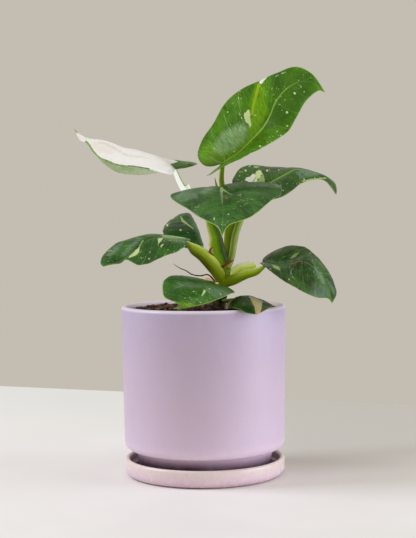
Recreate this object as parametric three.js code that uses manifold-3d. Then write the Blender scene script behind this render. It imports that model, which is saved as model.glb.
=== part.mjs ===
// Potted white knight philodendron: a young plant in a straight-sided glazed pot that stands in its saucer.
// Millimetres, +Z up, the viewer on the -Y side. The origin is the centre of the saucer's flat underside.
import * as THREE from "three";
import { mergeVertices } from "three/addons/utils/BufferGeometryUtils.js";
import Module from "manifold-3d";

const wasm = await Module();
wasm.setup();

// Clearance that every piece keeps to the next one
const GAP = 0.3;

// Vertices nearer than this are one
const MERGE_DISTANCE = 1e-3;

// Segments round the pot, the saucer and the soil
const ROUND_SEGMENTS = 40;

// Saucer: a low dish with a rounded outer wall
const SAUCER = { radius: 68.3, baseRadius: 62, height: 14.8, wall: 4.4, floor: 6, edge: 2.1, corner: 3 };

// Pot: an almost straight wall over a narrower foot that stands inside the saucer
const POT = {
  rimRadius: 70,
  rimSteps: 5,
  lowRadius: 68.2,
  height: 144,
  wall: 6,
  bodyBottom: 23.4,
  bodyFillet: 9.5,
  bodyFilletStart: -80,
  footTopRadius: 58.5,
  footRadius: 55.5,
  footRing: 7,
  recess: 2,
  floor: 6.5,
  innerStep: 31,
  innerStepDrop: 5,
  innerStepWidth: 4,
  innerFootRadius: 50,
  innerCorner: 3,
  drainRadius: 6,
};

// Soil: fills the pot to just under the rim and rises a little round the stem
const SOIL = { wallLevel: 141, shoulderLevel: 142.5, moundLevel: 143, moundRadius: 30 };

// Blades are leathery and thin. Rows of faces cross the midrib; power makes them fan out near the base, and
// the last row stops just short of the tip, where it would have no width.
const BLADE = { thickness: 1.0, rows: 12, halfColumns: 3, power: 1.7, end: 0.985 };

// Faces along and round each body that follows a curve
const STALK_FACES = { steps: 11, sides: 8 };
const THREAD_FACES = { steps: 14, sides: 5 };
const STEM_FACES = { steps: 8, sides: 12 };
const ROOT_FACES = { steps: 7, sides: 5 };

// Main stem, from inside the soil to the node where the upper stalks part
const STEM = {
  path: [[12.5, 0, 114], [12.7, 0, 128], [13.2, 0, 142], [15, 0, 156], [17.5, 0, 168], [19, 0, 180]],
  radii: [6.2, 5.8, 5.4, 5.4, 5.6, 4.2],
  face: [0, -1, 0],
};

// Leaves. Each has a midrib from where the stalk joins to the tip, and two edges that run from the notch at
// the leaf's base, round the lobe, to the tip. left and right are as seen from the upper face with the tip
// pointing away. bulge is how far each half arches up, as a part of its width.
const LEAVES = {
  top: {
    midrib: [[17, 0, 264], [30.5, 3, 272], [42.4, 5, 283.3], [52.2, 6, 294.1], [58.5, 6.5, 304.8],
      [63, 8, 315.7], [72.5, 11, 327.2], [84.7, 15, 334], [96.8, 18, 332.8], [107, 20, 325]],
    left: [[14, -1, 263.5], [8, -4, 261.5], [1, -6, 263], [-3.5, -7, 270], [0.5, -6, 284], [9.5, -4, 297],
      [20.5, 0, 315.5], [34, 5, 327], [49, 9, 334.3], [66, 17, 342.4], [82, 21, 347.5], [96, 22, 341.3],
      [107, 20, 325]],
    right: [[18, -3, 262], [11, -9, 258], [4, -17, 253], [15, -24, 258.6], [29, -24, 265.7],
      [49.8, -18, 276], [61, -12, 282.2], [72.8, -6, 290.3], [80.3, 2, 301.8], [90.1, 11, 317.6],
      [101.3, 16, 326.3], [107, 20, 325]],
    bulge: 0,
  },
  white: {
    midrib: [[-23, 5, 259.5], [-32, 5, 268], [-42, 4, 272.5], [-53, 3, 276], [-67, 2, 279], [-81, 1, 284],
      [-97, 1, 287], [-104, 0, 290.5], [-108, 0, 295]],
    left: [[-24, 2, 257], [-26, -8, 254.5], [-31, -18, 255.5], [-39, -24, 257.5], [-54, -27, 261],
      [-71, -24, 263.5], [-79, -20, 266.5], [-85, -17, 269], [-91, -12, 274], [-97, -6, 282],
      [-103, -3, 285], [-108, 0, 295]],
    right: [[-21, 7, 260.5], [-12, 10, 261.5], [-4, 15, 264.5], [-14, 22, 267], [-25, 29, 266],
      [-37, 30, 258.5], [-52, 28, 256], [-64, 26, 256.5], [-74, 22, 258.5], [-86, 14, 267], [-96, 7, 280],
      [-103, 3, 288], [-108, 0, 295]],
    bulge: 0.08,
  },
  right_middle: {
    midrib: [[41, 12, 238.5], [57.5, 20, 246.5], [71, 27, 254], [82, 33, 259.5], [94, 38, 258],
      [107, 40, 251], [115, 40, 244], [118, 38, 237]],
    left: [[39, 14, 239.5], [31, 13, 243], [26, 16, 248], [29, 26, 255.5], [34, 34, 261.5], [43.5, 42, 264],
      [60, 52, 263], [73, 58, 262], [87, 60, 260], [101, 60, 254.5], [111.5, 57, 252], [118, 50, 247.5],
      [119, 44, 242], [118, 38, 237]],
    right: [[39.5, 9, 237.5], [33, 2, 236.5], [29, -4, 235], [33, -10, 231.5], [40, -12, 230], [50, -12, 231],
      [61, -3, 233.5], [68, 0, 235.5], [77, 10, 240.5], [85, 18, 246.5], [96, 26, 250], [108, 34, 249],
      [118, 38, 237]],
    bulge: 0.08,
  },
  front: {
    midrib: [[15, -8, 244], [15.5, -28, 237.5], [16, -50, 230], [16, -70, 221], [15.5, -87, 213],
      [15, -98.5, 203]],
    left: [[18, -6, 244], [27, 4, 246], [41, 8, 247], [56, 2, 246.5], [66, -10, 244.5], [65, -24, 236.5],
      [59, -33, 233.5], [52, -44, 228.5], [46, -54, 223.5], [37, -66, 218], [28, -76, 215],
      [21, -85, 212.5], [17, -92, 208], [15, -98.5, 203]],
    right: [[12, -6, 243.5], [5.5, 6, 243], [-6.5, 8, 240.5], [-18, -2, 240], [-26.5, -20, 237],
      [-21, -38, 231], [-12.5, -52, 226], [-3.5, -66, 219.5], [5, -78, 215], [10.5, -86, 212],
      [13.5, -93, 208], [15, -98.5, 203]],
    bulge: 0.08,
  },
  left: {
    midrib: [[-12.5, -12, 198], [-23.5, -16, 201], [-36, -20, 202], [-46, -24, 199.5], [-53.5, -28, 193.5],
      [-61.5, -31, 186.5], [-71.5, -33, 182], [-82.5, -34, 179]],
    left: [[-12.5, -15, 196.5], [-13.5, -20, 195], [-16.5, -25, 193.5], [-22.5, -36, 190],
      [-28.5, -42, 188.5], [-37, -45, 185], [-43.5, -45, 182], [-49.5, -44, 180.5], [-53.5, -43, 180.5],
      [-57.5, -42, 182.5], [-63, -41, 184.5], [-67, -41, 182], [-72.5, -40, 181], [-79.5, -37, 180],
      [-82.5, -34, 179]],
    right: [[-11.5, -8, 198.5], [-10.5, -2, 200], [-17.5, 4, 201], [-26.5, 6, 202], [-38.5, 5, 203],
      [-50.5, 2, 203], [-58, -2, 202], [-66, -8, 199.5], [-73.5, -13, 197], [-81.5, -20, 190],
      [-84.5, -27, 184.5], [-84.5, -32, 181], [-82.5, -34, 179]],
    bulge: 0.08,
  },
  back_left: {
    midrib: [[-1.5, 12, 193.5], [-6.5, 22, 206.5], [-13, 34, 213], [-20, 48, 218], [-26, 62, 217],
      [-31, 76, 210]],
    left: [[-4.5, 8, 192.5], [-10, 3, 191.5], [-18.5, 3, 194], [-28.5, 10, 198.5], [-34.5, 22, 205.5],
      [-34, 35, 210], [-32.5, 50, 213], [-31, 65, 214], [-31, 76, 210]],
    right: [[-0.3, 16, 191.5], [0.5, 24, 193.5], [-1.8, 38, 200], [-4.4, 50, 208], [-7.5, 60, 216],
      [-12, 69, 222], [-18.5, 76, 220.5], [-26, 79, 215], [-31, 76, 210]],
    bulge: 0.06,
  },
  right: {
    midrib: [[50.5, -18, 177.5], [61, -22, 178.5], [71.5, -27, 179.5], [81, -32, 181.5], [88.5, -36, 178.5],
      [96.5, -38, 170.5], [103, -38, 161], [106, -36, 147]],
    left: [[50, -14, 179.5], [50.5, -7, 182], [54, 1, 185], [61.5, 5, 189.5], [69, 2, 192.5], [78, -2, 194],
      [86.5, -6, 192.5], [94.5, -14, 186], [101, -20, 178], [105.5, -26, 171], [109, -30, 162],
      [110, -33, 154], [106, -36, 147]],
    right: [[49.5, -22, 178.5], [47, -29, 180.5], [49.5, -39, 178.5], [54.5, -48, 174.5], [65.5, -54, 166.5],
      [72.5, -56, 162.5], [79.5, -56, 158.5], [86.5, -55, 155], [93.5, -51, 152.5], [101.5, -44, 151.5],
      [106, -36, 147]],
    bulge: 0.08,
  },
  lower_left: {
    midrib: [[11, -20, 162.5], [-1.5, -32, 164], [-13.5, -44, 163.5], [-23.5, -53, 160], [-27, -59, 155.5],
      [-22, -62, 151], [-16, -61, 148], [-19, -57.5, 146], [-25, -54, 145.5]],
    left: [[13, -21, 161.5], [19, -25, 160.5], [26, -34, 157], [22, -44, 156], [14.5, -54, 153.5],
      [3.5, -62, 150], [-5, -64, 148], [-11, -63.5, 147], [-14.5, -61, 146], [-19, -57, 144.8],
      [-25, -54, 145.5]],
    right: [[12, -17, 162], [10, -10, 161.5], [7.5, -6, 163], [-4, -10, 166.7], [-15, -20, 170],
      [-24, -32, 171], [-29.5, -42, 170], [-32.5, -50, 166.5], [-33, -56, 161], [-31.5, -59.5, 155.5],
      [-27, -61.5, 152.5], [-20, -62, 150.5], [-15.5, -60.5, 148.5], [-18, -58.5, 147.5], [-25, -54, 145.5]],
    bulge: 0.06,
  },
  lower_right: {
    midrib: [[27, -22, 150.5], [31, -33, 153.8], [35, -40, 153], [37.5, -46, 151], [40, -54, 148.5],
      [42, -62, 145.5], [42.5, -71, 141]],
    left: [[30, -19, 150.5], [35, -15, 152.2], [41, -16, 152], [45.5, -20, 150.3], [49.5, -26, 148],
      [54, -32, 146.5], [57, -38, 145.5], [53, -50, 144.5], [48.5, -61, 143], [42.5, -71, 141]],
    right: [[25, -19, 149.5], [22.5, -16, 147.5], [18.5, -24, 145.5], [17.5, -37, 144], [19, -48, 144],
      [23, -57, 145.5], [28.5, -65, 145], [34, -70, 142.5], [42.5, -71, 141]],
    bulge: 0.06,
  },
};

// Leaf stalks: the middle line, and half the width and half the depth of the section along it. face is the
// direction that the stalk's grooved side looks.
const STALKS = {
  front: {
    path: [[18.5, 0, 173], [16.5, -1.5, 180.5], [13.6, -3, 187.5], [11.6, -3.5, 194.5], [11, -4, 201],
      [8.8, -4.5, 208.6], [7, -5, 216.5], [8.2, -5.6, 225], [11, -7, 234], [14.6, -8.3, 243]],
    widths: [4.4, 5.8, 6.8, 6.5, 5.3, 4.6, 4.5, 4, 2.8, 1.8],
    depths: [3, 3.6, 4, 3.8, 3.5, 3.3, 3, 2.6, 2, 1.5],
    face: [0, 1, 0],
  },
  top: {
    path: [[18, 3, 176], [20, 4, 185], [21.3, 4.5, 194.5], [22.2, 5, 203.5], [23.4, 5.5, 214.5],
      [22.5, 5.5, 227], [18.2, 4.5, 240], [16.5, 3, 250], [17.4, 1, 263.4]],
    widths: [3, 3.3, 3.6, 3.9, 4.1, 3.2, 2.4, 2.1, 1.9],
    depths: [2.8, 2.8, 2.8, 2.8, 2.6, 2.4, 2.2, 2, 1.8],
    face: [0, -1, 0],
  },
  right_middle: {
    path: [[20, 2, 174], [23.5, 2, 181], [25.2, 2, 188], [26.4, 2.5, 196], [28, 3, 204], [31.4, 5, 214.5],
      [36.4, 8, 226.5], [41.3, 11.9, 237.8]],
    widths: [2.8, 2.8, 3, 3.3, 3.5, 3.6, 2.8, 2],
    depths: [2.6, 2.6, 2.6, 2.6, 2.6, 2.4, 2.2, 1.8],
    face: [-0.5, -1, 0],
  },
  white: {
    path: [[16.5, 4, 176], [12.4, 7.5, 187], [9, 10.5, 199], [6.9, 12.5, 212], [2.3, 13, 224],
      [-6.2, 12, 233.5], [-15, 9.5, 242], [-19.2, 7.5, 249], [-23.4, 5.2, 258.8]],
    widths: [2.6, 2.4, 2.2, 2.2, 2.4, 2.8, 3.2, 2.4, 2],
    depths: [2.2, 2, 1.9, 1.9, 1.9, 1.9, 1.9, 1.9, 1.8],
    face: [0, -1, 0],
  },
  left: {
    path: [[15.5, -1, 163], [14.3, -3, 168.5], [11.2, -5.5, 174.5], [5.6, -8, 181.6], [-0.2, -9.8, 187.6],
      [-7, -11.3, 192.2], [-13.2, -12.4, 197.4]],
    widths: [4.4, 5, 5.2, 5, 4.8, 4.4, 3.2],
    depths: [4.6, 5.6, 6.3, 6.2, 5.9, 5.1, 1.8],
    face: [0.5, 0, 1],
  },
  back_left: {
    path: [[16, 3, 171], [9, 7.5, 179], [3.5, 10.5, 186], [-1.7, 12.2, 193.2]],
    widths: [3.2, 3, 2.6, 2],
    depths: [2.8, 2.6, 2.2, 1.8],
    face: [0.5, 0, 1],
  },
  right: {
    path: [[18, -2, 163], [26.5, -6, 166.3], [32.3, -9, 169.2], [37, -11.5, 171], [44.5, -15, 172.8],
      [50.9, -18, 176.8]],
    widths: [4.2, 4.7, 4.8, 4, 2.9, 1.7],
    depths: [4.4, 4.9, 4.7, 4.2, 3.2, 1.5],
    face: [-0.4, 0, 1],
  },
  lower_left: {
    path: [[16, -2, 152], [15, -8, 155.5], [13, -14, 159], [11.3, -19, 161.3]],
    widths: [2.8, 2.4, 2, 1.6],
    depths: [2.6, 2.2, 1.8, 1.5],
    face: [0, 0, 1],
  },
  lower_right: {
    path: [[16.5, -2, 147.5], [20, -9, 148], [23.5, -15.5, 149], [26.5, -21, 149.8]],
    widths: [2.6, 2.2, 1.9, 1.5],
    depths: [2.2, 1.9, 1.7, 1.4],
    face: [0, 0, 1],
  },
};

// Short cut stalk, and the thin sheaths at the joints of the stem
const CUT_STALK = {
  path: [[18, 3, 166.5], [22.5, 4, 170], [26, 4, 173], [31, 4, 175.6], [38.5, 4, 177.2], [45, 4, 178]],
  widths: [3.2, 3.3, 3.4, 3.7, 3.4, 2.6],
  depths: [2.6, 2.8, 3, 3.6, 3.4, 2.6],
  face: [-0.4, 0, 1],
};
const SHEATH_TIP = {
  path: [[17, 4.4, 235], [14.4, 3.6, 240.5], [12, 2.8, 246.5], [10.8, 2.2, 252.3]],
  widths: [1.2, 1.1, 0.9, 0.4],
  depths: [0.8, 0.8, 0.6, 0.4],
  face: [0, -1, 0],
};
const DRY_SHEATH = {
  path: [[15, -3, 156], [9, -6.5, 163], [4, -7.5, 166], [-1, -7, 166.6]],
  widths: [2.6, 2.2, 1.4, 0.5],
  depths: [0.5, 0.5, 0.5, 0.4],
  face: [0, -0.7, 1],
};

// Aerial roots are round threads that leave the stem between the stalks
const THREAD_FACE = [0.3, 1, 0.2];
const LONG_ROOT = {
  path: [[13, -3, 161.5], [9.7, -6.5, 164.4], [8.6, -8.5, 166], [6.4, -10, 168.7], [3.4, -11.5, 170.4],
    [-2.1, -12, 169.5], [-9.5, -12, 170.7], [-14.2, -12, 173.8], [-19.3, -12, 176], [-25.3, -12, 180]],
  radius: 0.7,
};
const RED_ROOT_LEFT = {
  path: [[8.5, -8.5, 185.5], [7, -10.5, 187.5], [6, -11.8, 189.6], [6.4, -12.4, 191.5], [7.8, -12.6, 193.4]],
  radius: 0.95,
};
const RED_ROOT_RIGHT = {
  path: [[15.5, -4, 175.5], [17.2, -8, 177.2], [21, -9.5, 179.7], [25.7, -11, 182.3]],
  radius: 0.95,
};

// Roots under the stem: a flattened crown, and roots that curl out and down through the soil. Each root's
// course goes from its start, 0, to its end, 1, in how far it has reached and how deep it has gone.
const CROWN_ROOTS = {
  top: [12.5, 0, 114],
  crownRadius: 8,
  crownFlatness: 0.7,
  crownFaces: { round: 10, high: 6 },
  count: 6,
  firstTurn: 0.3,
  curl: 0.5,
  startDepth: 7,
  shortest: 32,
  longest: 46,
  drop: 52,
  drift: 0.6,
  course: [[0, 0], [0.3, 0.1], [0.65, 0.4], [0.9, 0.75], [1, 1]],
  radii: [2.8, 2, 1.2],
  face: [0.2, 0.1, 1],
};

const vector = (point) => new THREE.Vector3(...point);
const curve = (points) => new THREE.CatmullRomCurve3(points.map(vector), false, "centripetal");

// Straight-line reading of a list of values at u from 0 to 1
function valueAt(values, u) {
  const place = u * (values.length - 1);
  const index = Math.min(Math.floor(place), values.length - 2);
  return THREE.MathUtils.lerp(values[index], values[index + 1], place - index);
}

function geometryFrom(points, faces) {
  const geometry = new THREE.BufferGeometry();
  geometry.setAttribute("position", new THREE.Float32BufferAttribute(points.flatMap((p) => p.toArray()), 3));
  geometry.setIndex(faces.flat());
  return geometry;
}

// Closed body along a curve: an oval section whose half sizes change on the way, with flat ends.
// grow makes the same body larger all round, for cutting the clearance in a neighbour.
function stalk({ path, widths, depths, face }, grow = 0, { steps, sides } = STALK_FACES) {
  const line = curve(path);
  const toward = vector(face).normalize();
  const points = [];
  for (let step = 0; step <= steps; step += 1) {
    const u = step / steps;
    const tangent = line.getTangentAt(u);
    const side = new THREE.Vector3().crossVectors(tangent, toward).normalize();
    const up = new THREE.Vector3().crossVectors(side, tangent);
    const end = step === 0 ? -grow : step === steps ? grow : 0;
    const centre = line.getPointAt(u).addScaledVector(tangent, end);
    for (let corner = 0; corner < sides; corner += 1) {
      const angle = (2 * Math.PI * corner) / sides;
      points.push(
        centre
          .clone()
          .addScaledVector(side, Math.cos(angle) * (valueAt(widths, u) + grow))
          .addScaledVector(up, Math.sin(angle) * (valueAt(depths, u) + grow)),
      );
    }
  }
  const faces = [];
  for (let step = 0; step < steps; step += 1) {
    for (let corner = 0; corner < sides; corner += 1) {
      const a = step * sides + corner;
      const b = step * sides + ((corner + 1) % sides);
      faces.push([a, b, b + sides], [a, b + sides, a + sides]);
    }
  }
  const last = steps * sides;
  for (let corner = 1; corner < sides - 1; corner += 1) {
    faces.push([0, corner + 1, corner], [last, last + corner, last + corner + 1]);
  }
  return outward(geometryFrom(points, faces));
}

const thread = ({ path, radius }, grow) =>
  stalk({ path, widths: [radius, radius], depths: [radius, radius], face: THREAD_FACE }, grow, THREAD_FACES);

const stemBody = (grow) =>
  stalk({ path: STEM.path, widths: STEM.radii, depths: STEM.radii, face: STEM.face }, grow, STEM_FACES);

// The solid of a closed mesh, with its faces turned round if the mesh is inside out
function outward(geometry) {
  const solid = solidOf(geometry);
  if (solid.volume() > 0) return solid;
  const index = geometry.index.array;
  for (let i = 0; i < index.length; i += 3) {
    [index[i + 1], index[i + 2]] = [index[i + 2], index[i + 1]];
  }
  return solidOf(geometry);
}

// Points of a blade's middle surface. Each row runs from one edge over the midrib to the other and follows
// the side veins: near the base the rows fan out into the lobes.
function bladeGrid({ midrib, left, right, bulge }) {
  const rib = curve(midrib);
  const edges = [curve(left), curve(right)];
  const grid = [];
  for (let row = 0; row <= BLADE.rows; row += 1) {
    const t = (row / BLADE.rows) * BLADE.end;
    const u = t ** BLADE.power;
    const middle = rib.getPointAt(u);
    const along = rib.getTangentAt(u);
    const halves = edges.map((edge, side) => {
      const end = edge.getPointAt(t);
      const across = end.clone().sub(middle);
      const normal = new THREE.Vector3().crossVectors(along, across).normalize();
      const lift = 2 * bulge * across.length() * (side === 0 ? 1 : -1);
      const control = middle.clone().add(end).multiplyScalar(0.5).addScaledVector(normal, lift);
      const arch = new THREE.QuadraticBezierCurve3(middle, control, end);
      return Array.from({ length: BLADE.halfColumns }, (_, k) => arch.getPoint((k + 1) / BLADE.halfColumns));
    });
    grid.push([...halves[0].reverse(), middle, ...halves[1]]);
  }
  return grid;
}

// Closed thin body on both sides of a grid of points
function slab(grid, thickness, grow) {
  const rows = grid.length;
  const columns = grid[0].length;
  const widened = grow ? widen(grid, grow) : grid;
  const normals = widened.map((line) => line.map(() => new THREE.Vector3()));
  const a = new THREE.Vector3();
  const b = new THREE.Vector3();
  for (let r = 0; r < rows - 1; r += 1) {
    for (let c = 0; c < columns - 1; c += 1) {
      a.subVectors(widened[r + 1][c + 1], widened[r][c]);
      b.subVectors(widened[r + 1][c], widened[r][c + 1]);
      const normal = new THREE.Vector3().crossVectors(a, b).normalize();
      for (const [i, j] of [[r, c], [r + 1, c], [r, c + 1], [r + 1, c + 1]]) normals[i][j].add(normal);
    }
  }
  const half = thickness / 2 + grow;
  const points = [];
  for (const side of [1, -1]) {
    widened.forEach((line, r) =>
      line.forEach((p, c) => points.push(p.clone().addScaledVector(normals[r][c].normalize(), side * half))),
    );
  }
  const under = rows * columns;
  const at = (r, c) => r * columns + c;
  const faces = [];
  for (let r = 0; r < rows - 1; r += 1) {
    for (let c = 0; c < columns - 1; c += 1) {
      const [p, q, s, t] = [at(r, c), at(r, c + 1), at(r + 1, c + 1), at(r + 1, c)];
      faces.push([p, q, s], [p, s, t], [under + p, under + s, under + q], [under + p, under + t, under + s]);
    }
  }
  const border = [];
  for (let c = 0; c < columns - 1; c += 1) border.push(at(0, c));
  for (let r = 0; r < rows - 1; r += 1) border.push(at(r, columns - 1));
  for (let c = columns - 1; c > 0; c -= 1) border.push(at(rows - 1, c));
  for (let r = rows - 1; r > 0; r -= 1) border.push(at(r, 0));
  border.forEach((p, i) => {
    const q = border[(i + 1) % border.length];
    faces.push([q, p, under + p], [q, under + p, under + q]);
  });
  return outward(geometryFrom(points, faces));
}

// The same grid with its border pushed out by a distance
function widen(grid, distance) {
  const copy = grid.map((line) => line.map((p) => p.clone()));
  const push = (edge, inner) =>
    edge.addScaledVector(new THREE.Vector3().subVectors(edge, inner).normalize(), distance);
  const lastRow = grid.length - 1;
  const lastColumn = grid[0].length - 1;
  grid.forEach((line, r) => {
    push(copy[r][0], line[1]);
    push(copy[r][lastColumn], line[lastColumn - 1]);
  });
  grid[0].forEach((_, c) => {
    push(copy[0][c], grid[1][c]);
    push(copy[lastRow][c], grid[lastRow - 1][c]);
  });
  return copy;
}

const blade = (name) => (grow) => slab(bladeGrid(LEAVES[name]), BLADE.thickness, grow);

// Body turned about the vertical axis from a closed or axis-to-axis profile of [radius, height]
function turned(profile) {
  const points = profile.map(([radius, height]) => new THREE.Vector2(radius, height));
  return outward(new THREE.LatheGeometry(points, ROUND_SEGMENTS).rotateX(Math.PI / 2));
}

// Points of a quarter turn between two angles, in degrees
function arc(centreRadius, centreHeight, radius, from, to, steps = 3) {
  return Array.from({ length: steps + 1 }, (_, i) => {
    const angle = THREE.MathUtils.degToRad(THREE.MathUtils.lerp(from, to, i / steps));
    return [centreRadius + radius * Math.cos(angle), centreHeight + radius * Math.sin(angle)];
  });
}

function saucerBody() {
  const { radius, baseRadius, height, wall, floor, edge, corner } = SAUCER;
  const outer = radius - baseRadius;
  return turned([
    [0, 0],
    [baseRadius, 0],
    ...arc(baseRadius, outer, outer, -90, 0).slice(1),
    [radius, height - edge],
    ...arc(radius - wall / 2, height - edge, wall / 2, 0, 180).slice(1, -1),
    [radius - wall, height - edge],
    [radius - wall, floor + corner],
    [radius - wall - corner, floor],
    [0, floor],
  ]);
}

function potBody() {
  const p = POT;
  const footBottom = SAUCER.floor + GAP;
  const rimEdge = p.wall / 2;
  const inner = p.rimRadius - p.wall;
  const floorTop = footBottom + p.recess + p.floor;
  return turned([
    [p.drainRadius, footBottom + p.recess],
    [p.footRadius - p.footRing, footBottom + p.recess],
    [p.footRadius - p.footRing, footBottom],
    [p.footRadius, footBottom],
    [p.footTopRadius, p.bodyBottom],
    ...arc(p.lowRadius - p.bodyFillet, p.bodyBottom + p.bodyFillet, p.bodyFillet, p.bodyFilletStart, 0),
    [p.rimRadius, p.height - rimEdge],
    ...arc(p.rimRadius - rimEdge, p.height - rimEdge, rimEdge, 0, 180, p.rimSteps).slice(1),
    [inner, p.innerStep + p.innerStepWidth],
    [p.innerFootRadius + p.innerStepWidth, p.innerStep],
    [p.innerFootRadius, p.innerStep - p.innerStepDrop],
    [p.innerFootRadius, floorTop + p.innerCorner],
    [p.innerFootRadius - p.innerCorner, floorTop],
    [p.drainRadius, floorTop],
    [p.drainRadius, footBottom + p.recess],
  ]);
}

function soilBody() {
  const p = POT;
  const inner = p.rimRadius - p.wall - GAP;
  const foot = p.innerFootRadius - GAP;
  const bottom = SAUCER.floor + GAP + p.recess + p.floor + GAP;
  return turned([
    [0, bottom],
    [foot - p.innerCorner, bottom],
    [foot, bottom + p.innerCorner],
    [foot, p.innerStep - p.innerStepDrop + GAP],
    [foot + p.innerStepWidth, p.innerStep + GAP],
    [inner, p.innerStep + p.innerStepWidth + GAP],
    [inner, SOIL.wallLevel],
    [SOIL.moundRadius, SOIL.shoulderLevel],
    [0, SOIL.moundLevel],
  ]);
}

function rootsBody(grow) {
  const c = CROWN_ROOTS;
  const top = vector(c.top);
  const crown = new THREE.SphereGeometry(c.crownRadius + grow, c.crownFaces.round, c.crownFaces.high);
  crown.rotateX(Math.PI / 2).scale(1, 1, c.crownFlatness);
  crown.translate(top.x, top.y, top.z - c.crownRadius * c.crownFlatness - GAP);
  let solid = solidOf(crown);
  for (let i = 0; i < c.count; i += 1) {
    const turn = ((i + c.firstTurn) / c.count) * 2 * Math.PI;
    const reach = i % 2 === 0 ? c.longest : c.shortest;
    const path = c.course.map(([out, down]) => {
      const angle = turn + c.curl * out;
      return [
        top.x * (1 - c.drift * out) + Math.cos(angle) * reach * out,
        Math.sin(angle) * reach * out,
        top.z - c.startDepth - down * c.drop,
      ];
    });
    solid = solid.add(stalk({ path, widths: c.radii, depths: c.radii, face: c.face }, grow, ROOT_FACES));
  }
  return solid;
}

function solidOf(geometry) {
  const bare = geometry.clone();
  bare.deleteAttribute("normal");
  bare.deleteAttribute("uv");
  const merged = mergeVertices(bare, MERGE_DISTANCE);
  return new wasm.Manifold(
    new wasm.Mesh({
      numProp: 3,
      vertProperties: merged.attributes.position.array,
      triVerts: new Uint32Array(merged.index.array),
    }),
  );
}

function geometryOf(solid) {
  const mesh = solid.getMesh();
  const geometry = new THREE.BufferGeometry();
  geometry.setAttribute("position", new THREE.BufferAttribute(mesh.vertProperties, 3));
  geometry.setIndex(new THREE.BufferAttribute(mesh.triVerts, 1));
  return geometry;
}

// The body with room cut for its neighbours, without the crumbs that the cut leaves behind
function cut(body, neighbours) {
  const solid = neighbours.reduce((rest, neighbour) => rest.subtract(neighbour), body);
  const pieces = solid.decompose().sort((a, b) => b.volume() - a.volume());
  return pieces[0];
}

const stalkShape = (name) => (grow) => stalk(STALKS[name], grow);

// Every node of the plant: its name, shape, colour and roughness. A node gives way to those before it.
const PLANT = [
  ["main_stem", stemBody, 0x5a4a2c, 0.75],
  ["stalk_front", stalkShape("front"), 0x5d7a17, 0.4],
  ["stalk_left", stalkShape("left"), 0x7d9a22, 0.4],
  ["stalk_right", stalkShape("right"), 0x7d992b, 0.4],
  ["stalk_top", stalkShape("top"), 0x3d5a10, 0.4],
  ["stalk_right_middle", stalkShape("right_middle"), 0x6e8f36, 0.4],
  ["stalk_white", stalkShape("white"), 0xe4e2cf, 0.4],
  ["stalk_back_left", stalkShape("back_left"), 0x6a8a25, 0.4],
  ["stalk_lower_left", stalkShape("lower_left"), 0x557a2c, 0.4],
  ["stalk_lower_right", stalkShape("lower_right"), 0x557a2c, 0.4],
  ["cut_stalk", (grow) => stalk(CUT_STALK, grow), 0xb4cc55, 0.45],
  ["sheath_tip", (grow) => stalk(SHEATH_TIP, grow), 0xa7b13c, 0.5],
  ["dry_sheath", (grow) => stalk(DRY_SHEATH, grow), 0xd9b98f, 0.85],
  ["aerial_root_long", (grow) => thread(LONG_ROOT, grow), 0x3d2a22, 0.8],
  ["aerial_root_left", (grow) => thread(RED_ROOT_LEFT, grow), 0x8d2f22, 0.6],
  ["aerial_root_right", (grow) => thread(RED_ROOT_RIGHT, grow), 0xb23a26, 0.6],
  ["blade_top", blade("top"), 0x4f8a1c, 0.35],
  ["blade_white", blade("white"), 0xe9e7df, 0.4],
  ["blade_right_middle", blade("right_middle"), 0x3f6142, 0.35],
  ["blade_front", blade("front"), 0x3a5e32, 0.35],
  ["blade_left", blade("left"), 0x3a6828, 0.35],
  ["blade_back_left", blade("back_left"), 0x2f5a35, 0.35],
  ["blade_right", blade("right"), 0x2f4924, 0.35],
  ["blade_lower_left", blade("lower_left"), 0x3c6a35, 0.35],
  ["blade_lower_right", blade("lower_right"), 0x2f5a20, 0.35],
  ["roots", rootsBody, 0xcdb896, 0.8],
];

const part = new THREE.Group();

function place(name, solid, color, roughness) {
  const material = new THREE.MeshStandardMaterial({ color, roughness, metalness: 0 });
  const mesh = new THREE.Mesh(geometryOf(solid), material);
  mesh.name = name;
  part.add(mesh);
}

place("saucer", saucerBody(), 0xd6c1c2, 0.35);
place("pot", potBody(), 0xb8a6bd, 0.45);

const placed = [];
for (const [name, shape, color, roughness] of PLANT) {
  place(name, cut(shape(0), placed), color, roughness);
  placed.push(shape(GAP));
}
place("potting_soil", cut(soilBody(), placed), 0x3a2a20, 0.95);

export default part;
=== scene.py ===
# Potted white knight philodendron: the looks of every piece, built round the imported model.
# Shapes are worked out in millimetres, as in the part's source, and turned into metres when a mesh is made.
import math

import bmesh
import bpy
import numpy as np
from mathutils import Matrix, Vector, noise


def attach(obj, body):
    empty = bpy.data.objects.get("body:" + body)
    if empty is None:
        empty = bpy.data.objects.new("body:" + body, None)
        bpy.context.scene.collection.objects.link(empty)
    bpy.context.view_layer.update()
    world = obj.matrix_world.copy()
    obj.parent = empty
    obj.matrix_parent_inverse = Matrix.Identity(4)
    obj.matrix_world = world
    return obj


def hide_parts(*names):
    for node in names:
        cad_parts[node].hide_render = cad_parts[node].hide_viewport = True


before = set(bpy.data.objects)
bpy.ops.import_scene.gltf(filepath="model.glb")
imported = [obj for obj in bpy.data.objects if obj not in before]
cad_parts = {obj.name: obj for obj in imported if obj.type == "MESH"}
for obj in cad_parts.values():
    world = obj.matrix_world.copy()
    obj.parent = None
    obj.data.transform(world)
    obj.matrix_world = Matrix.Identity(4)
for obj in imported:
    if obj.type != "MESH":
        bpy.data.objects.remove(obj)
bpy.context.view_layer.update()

MM = 0.001
RNG = np.random.default_rng(7)

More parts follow.
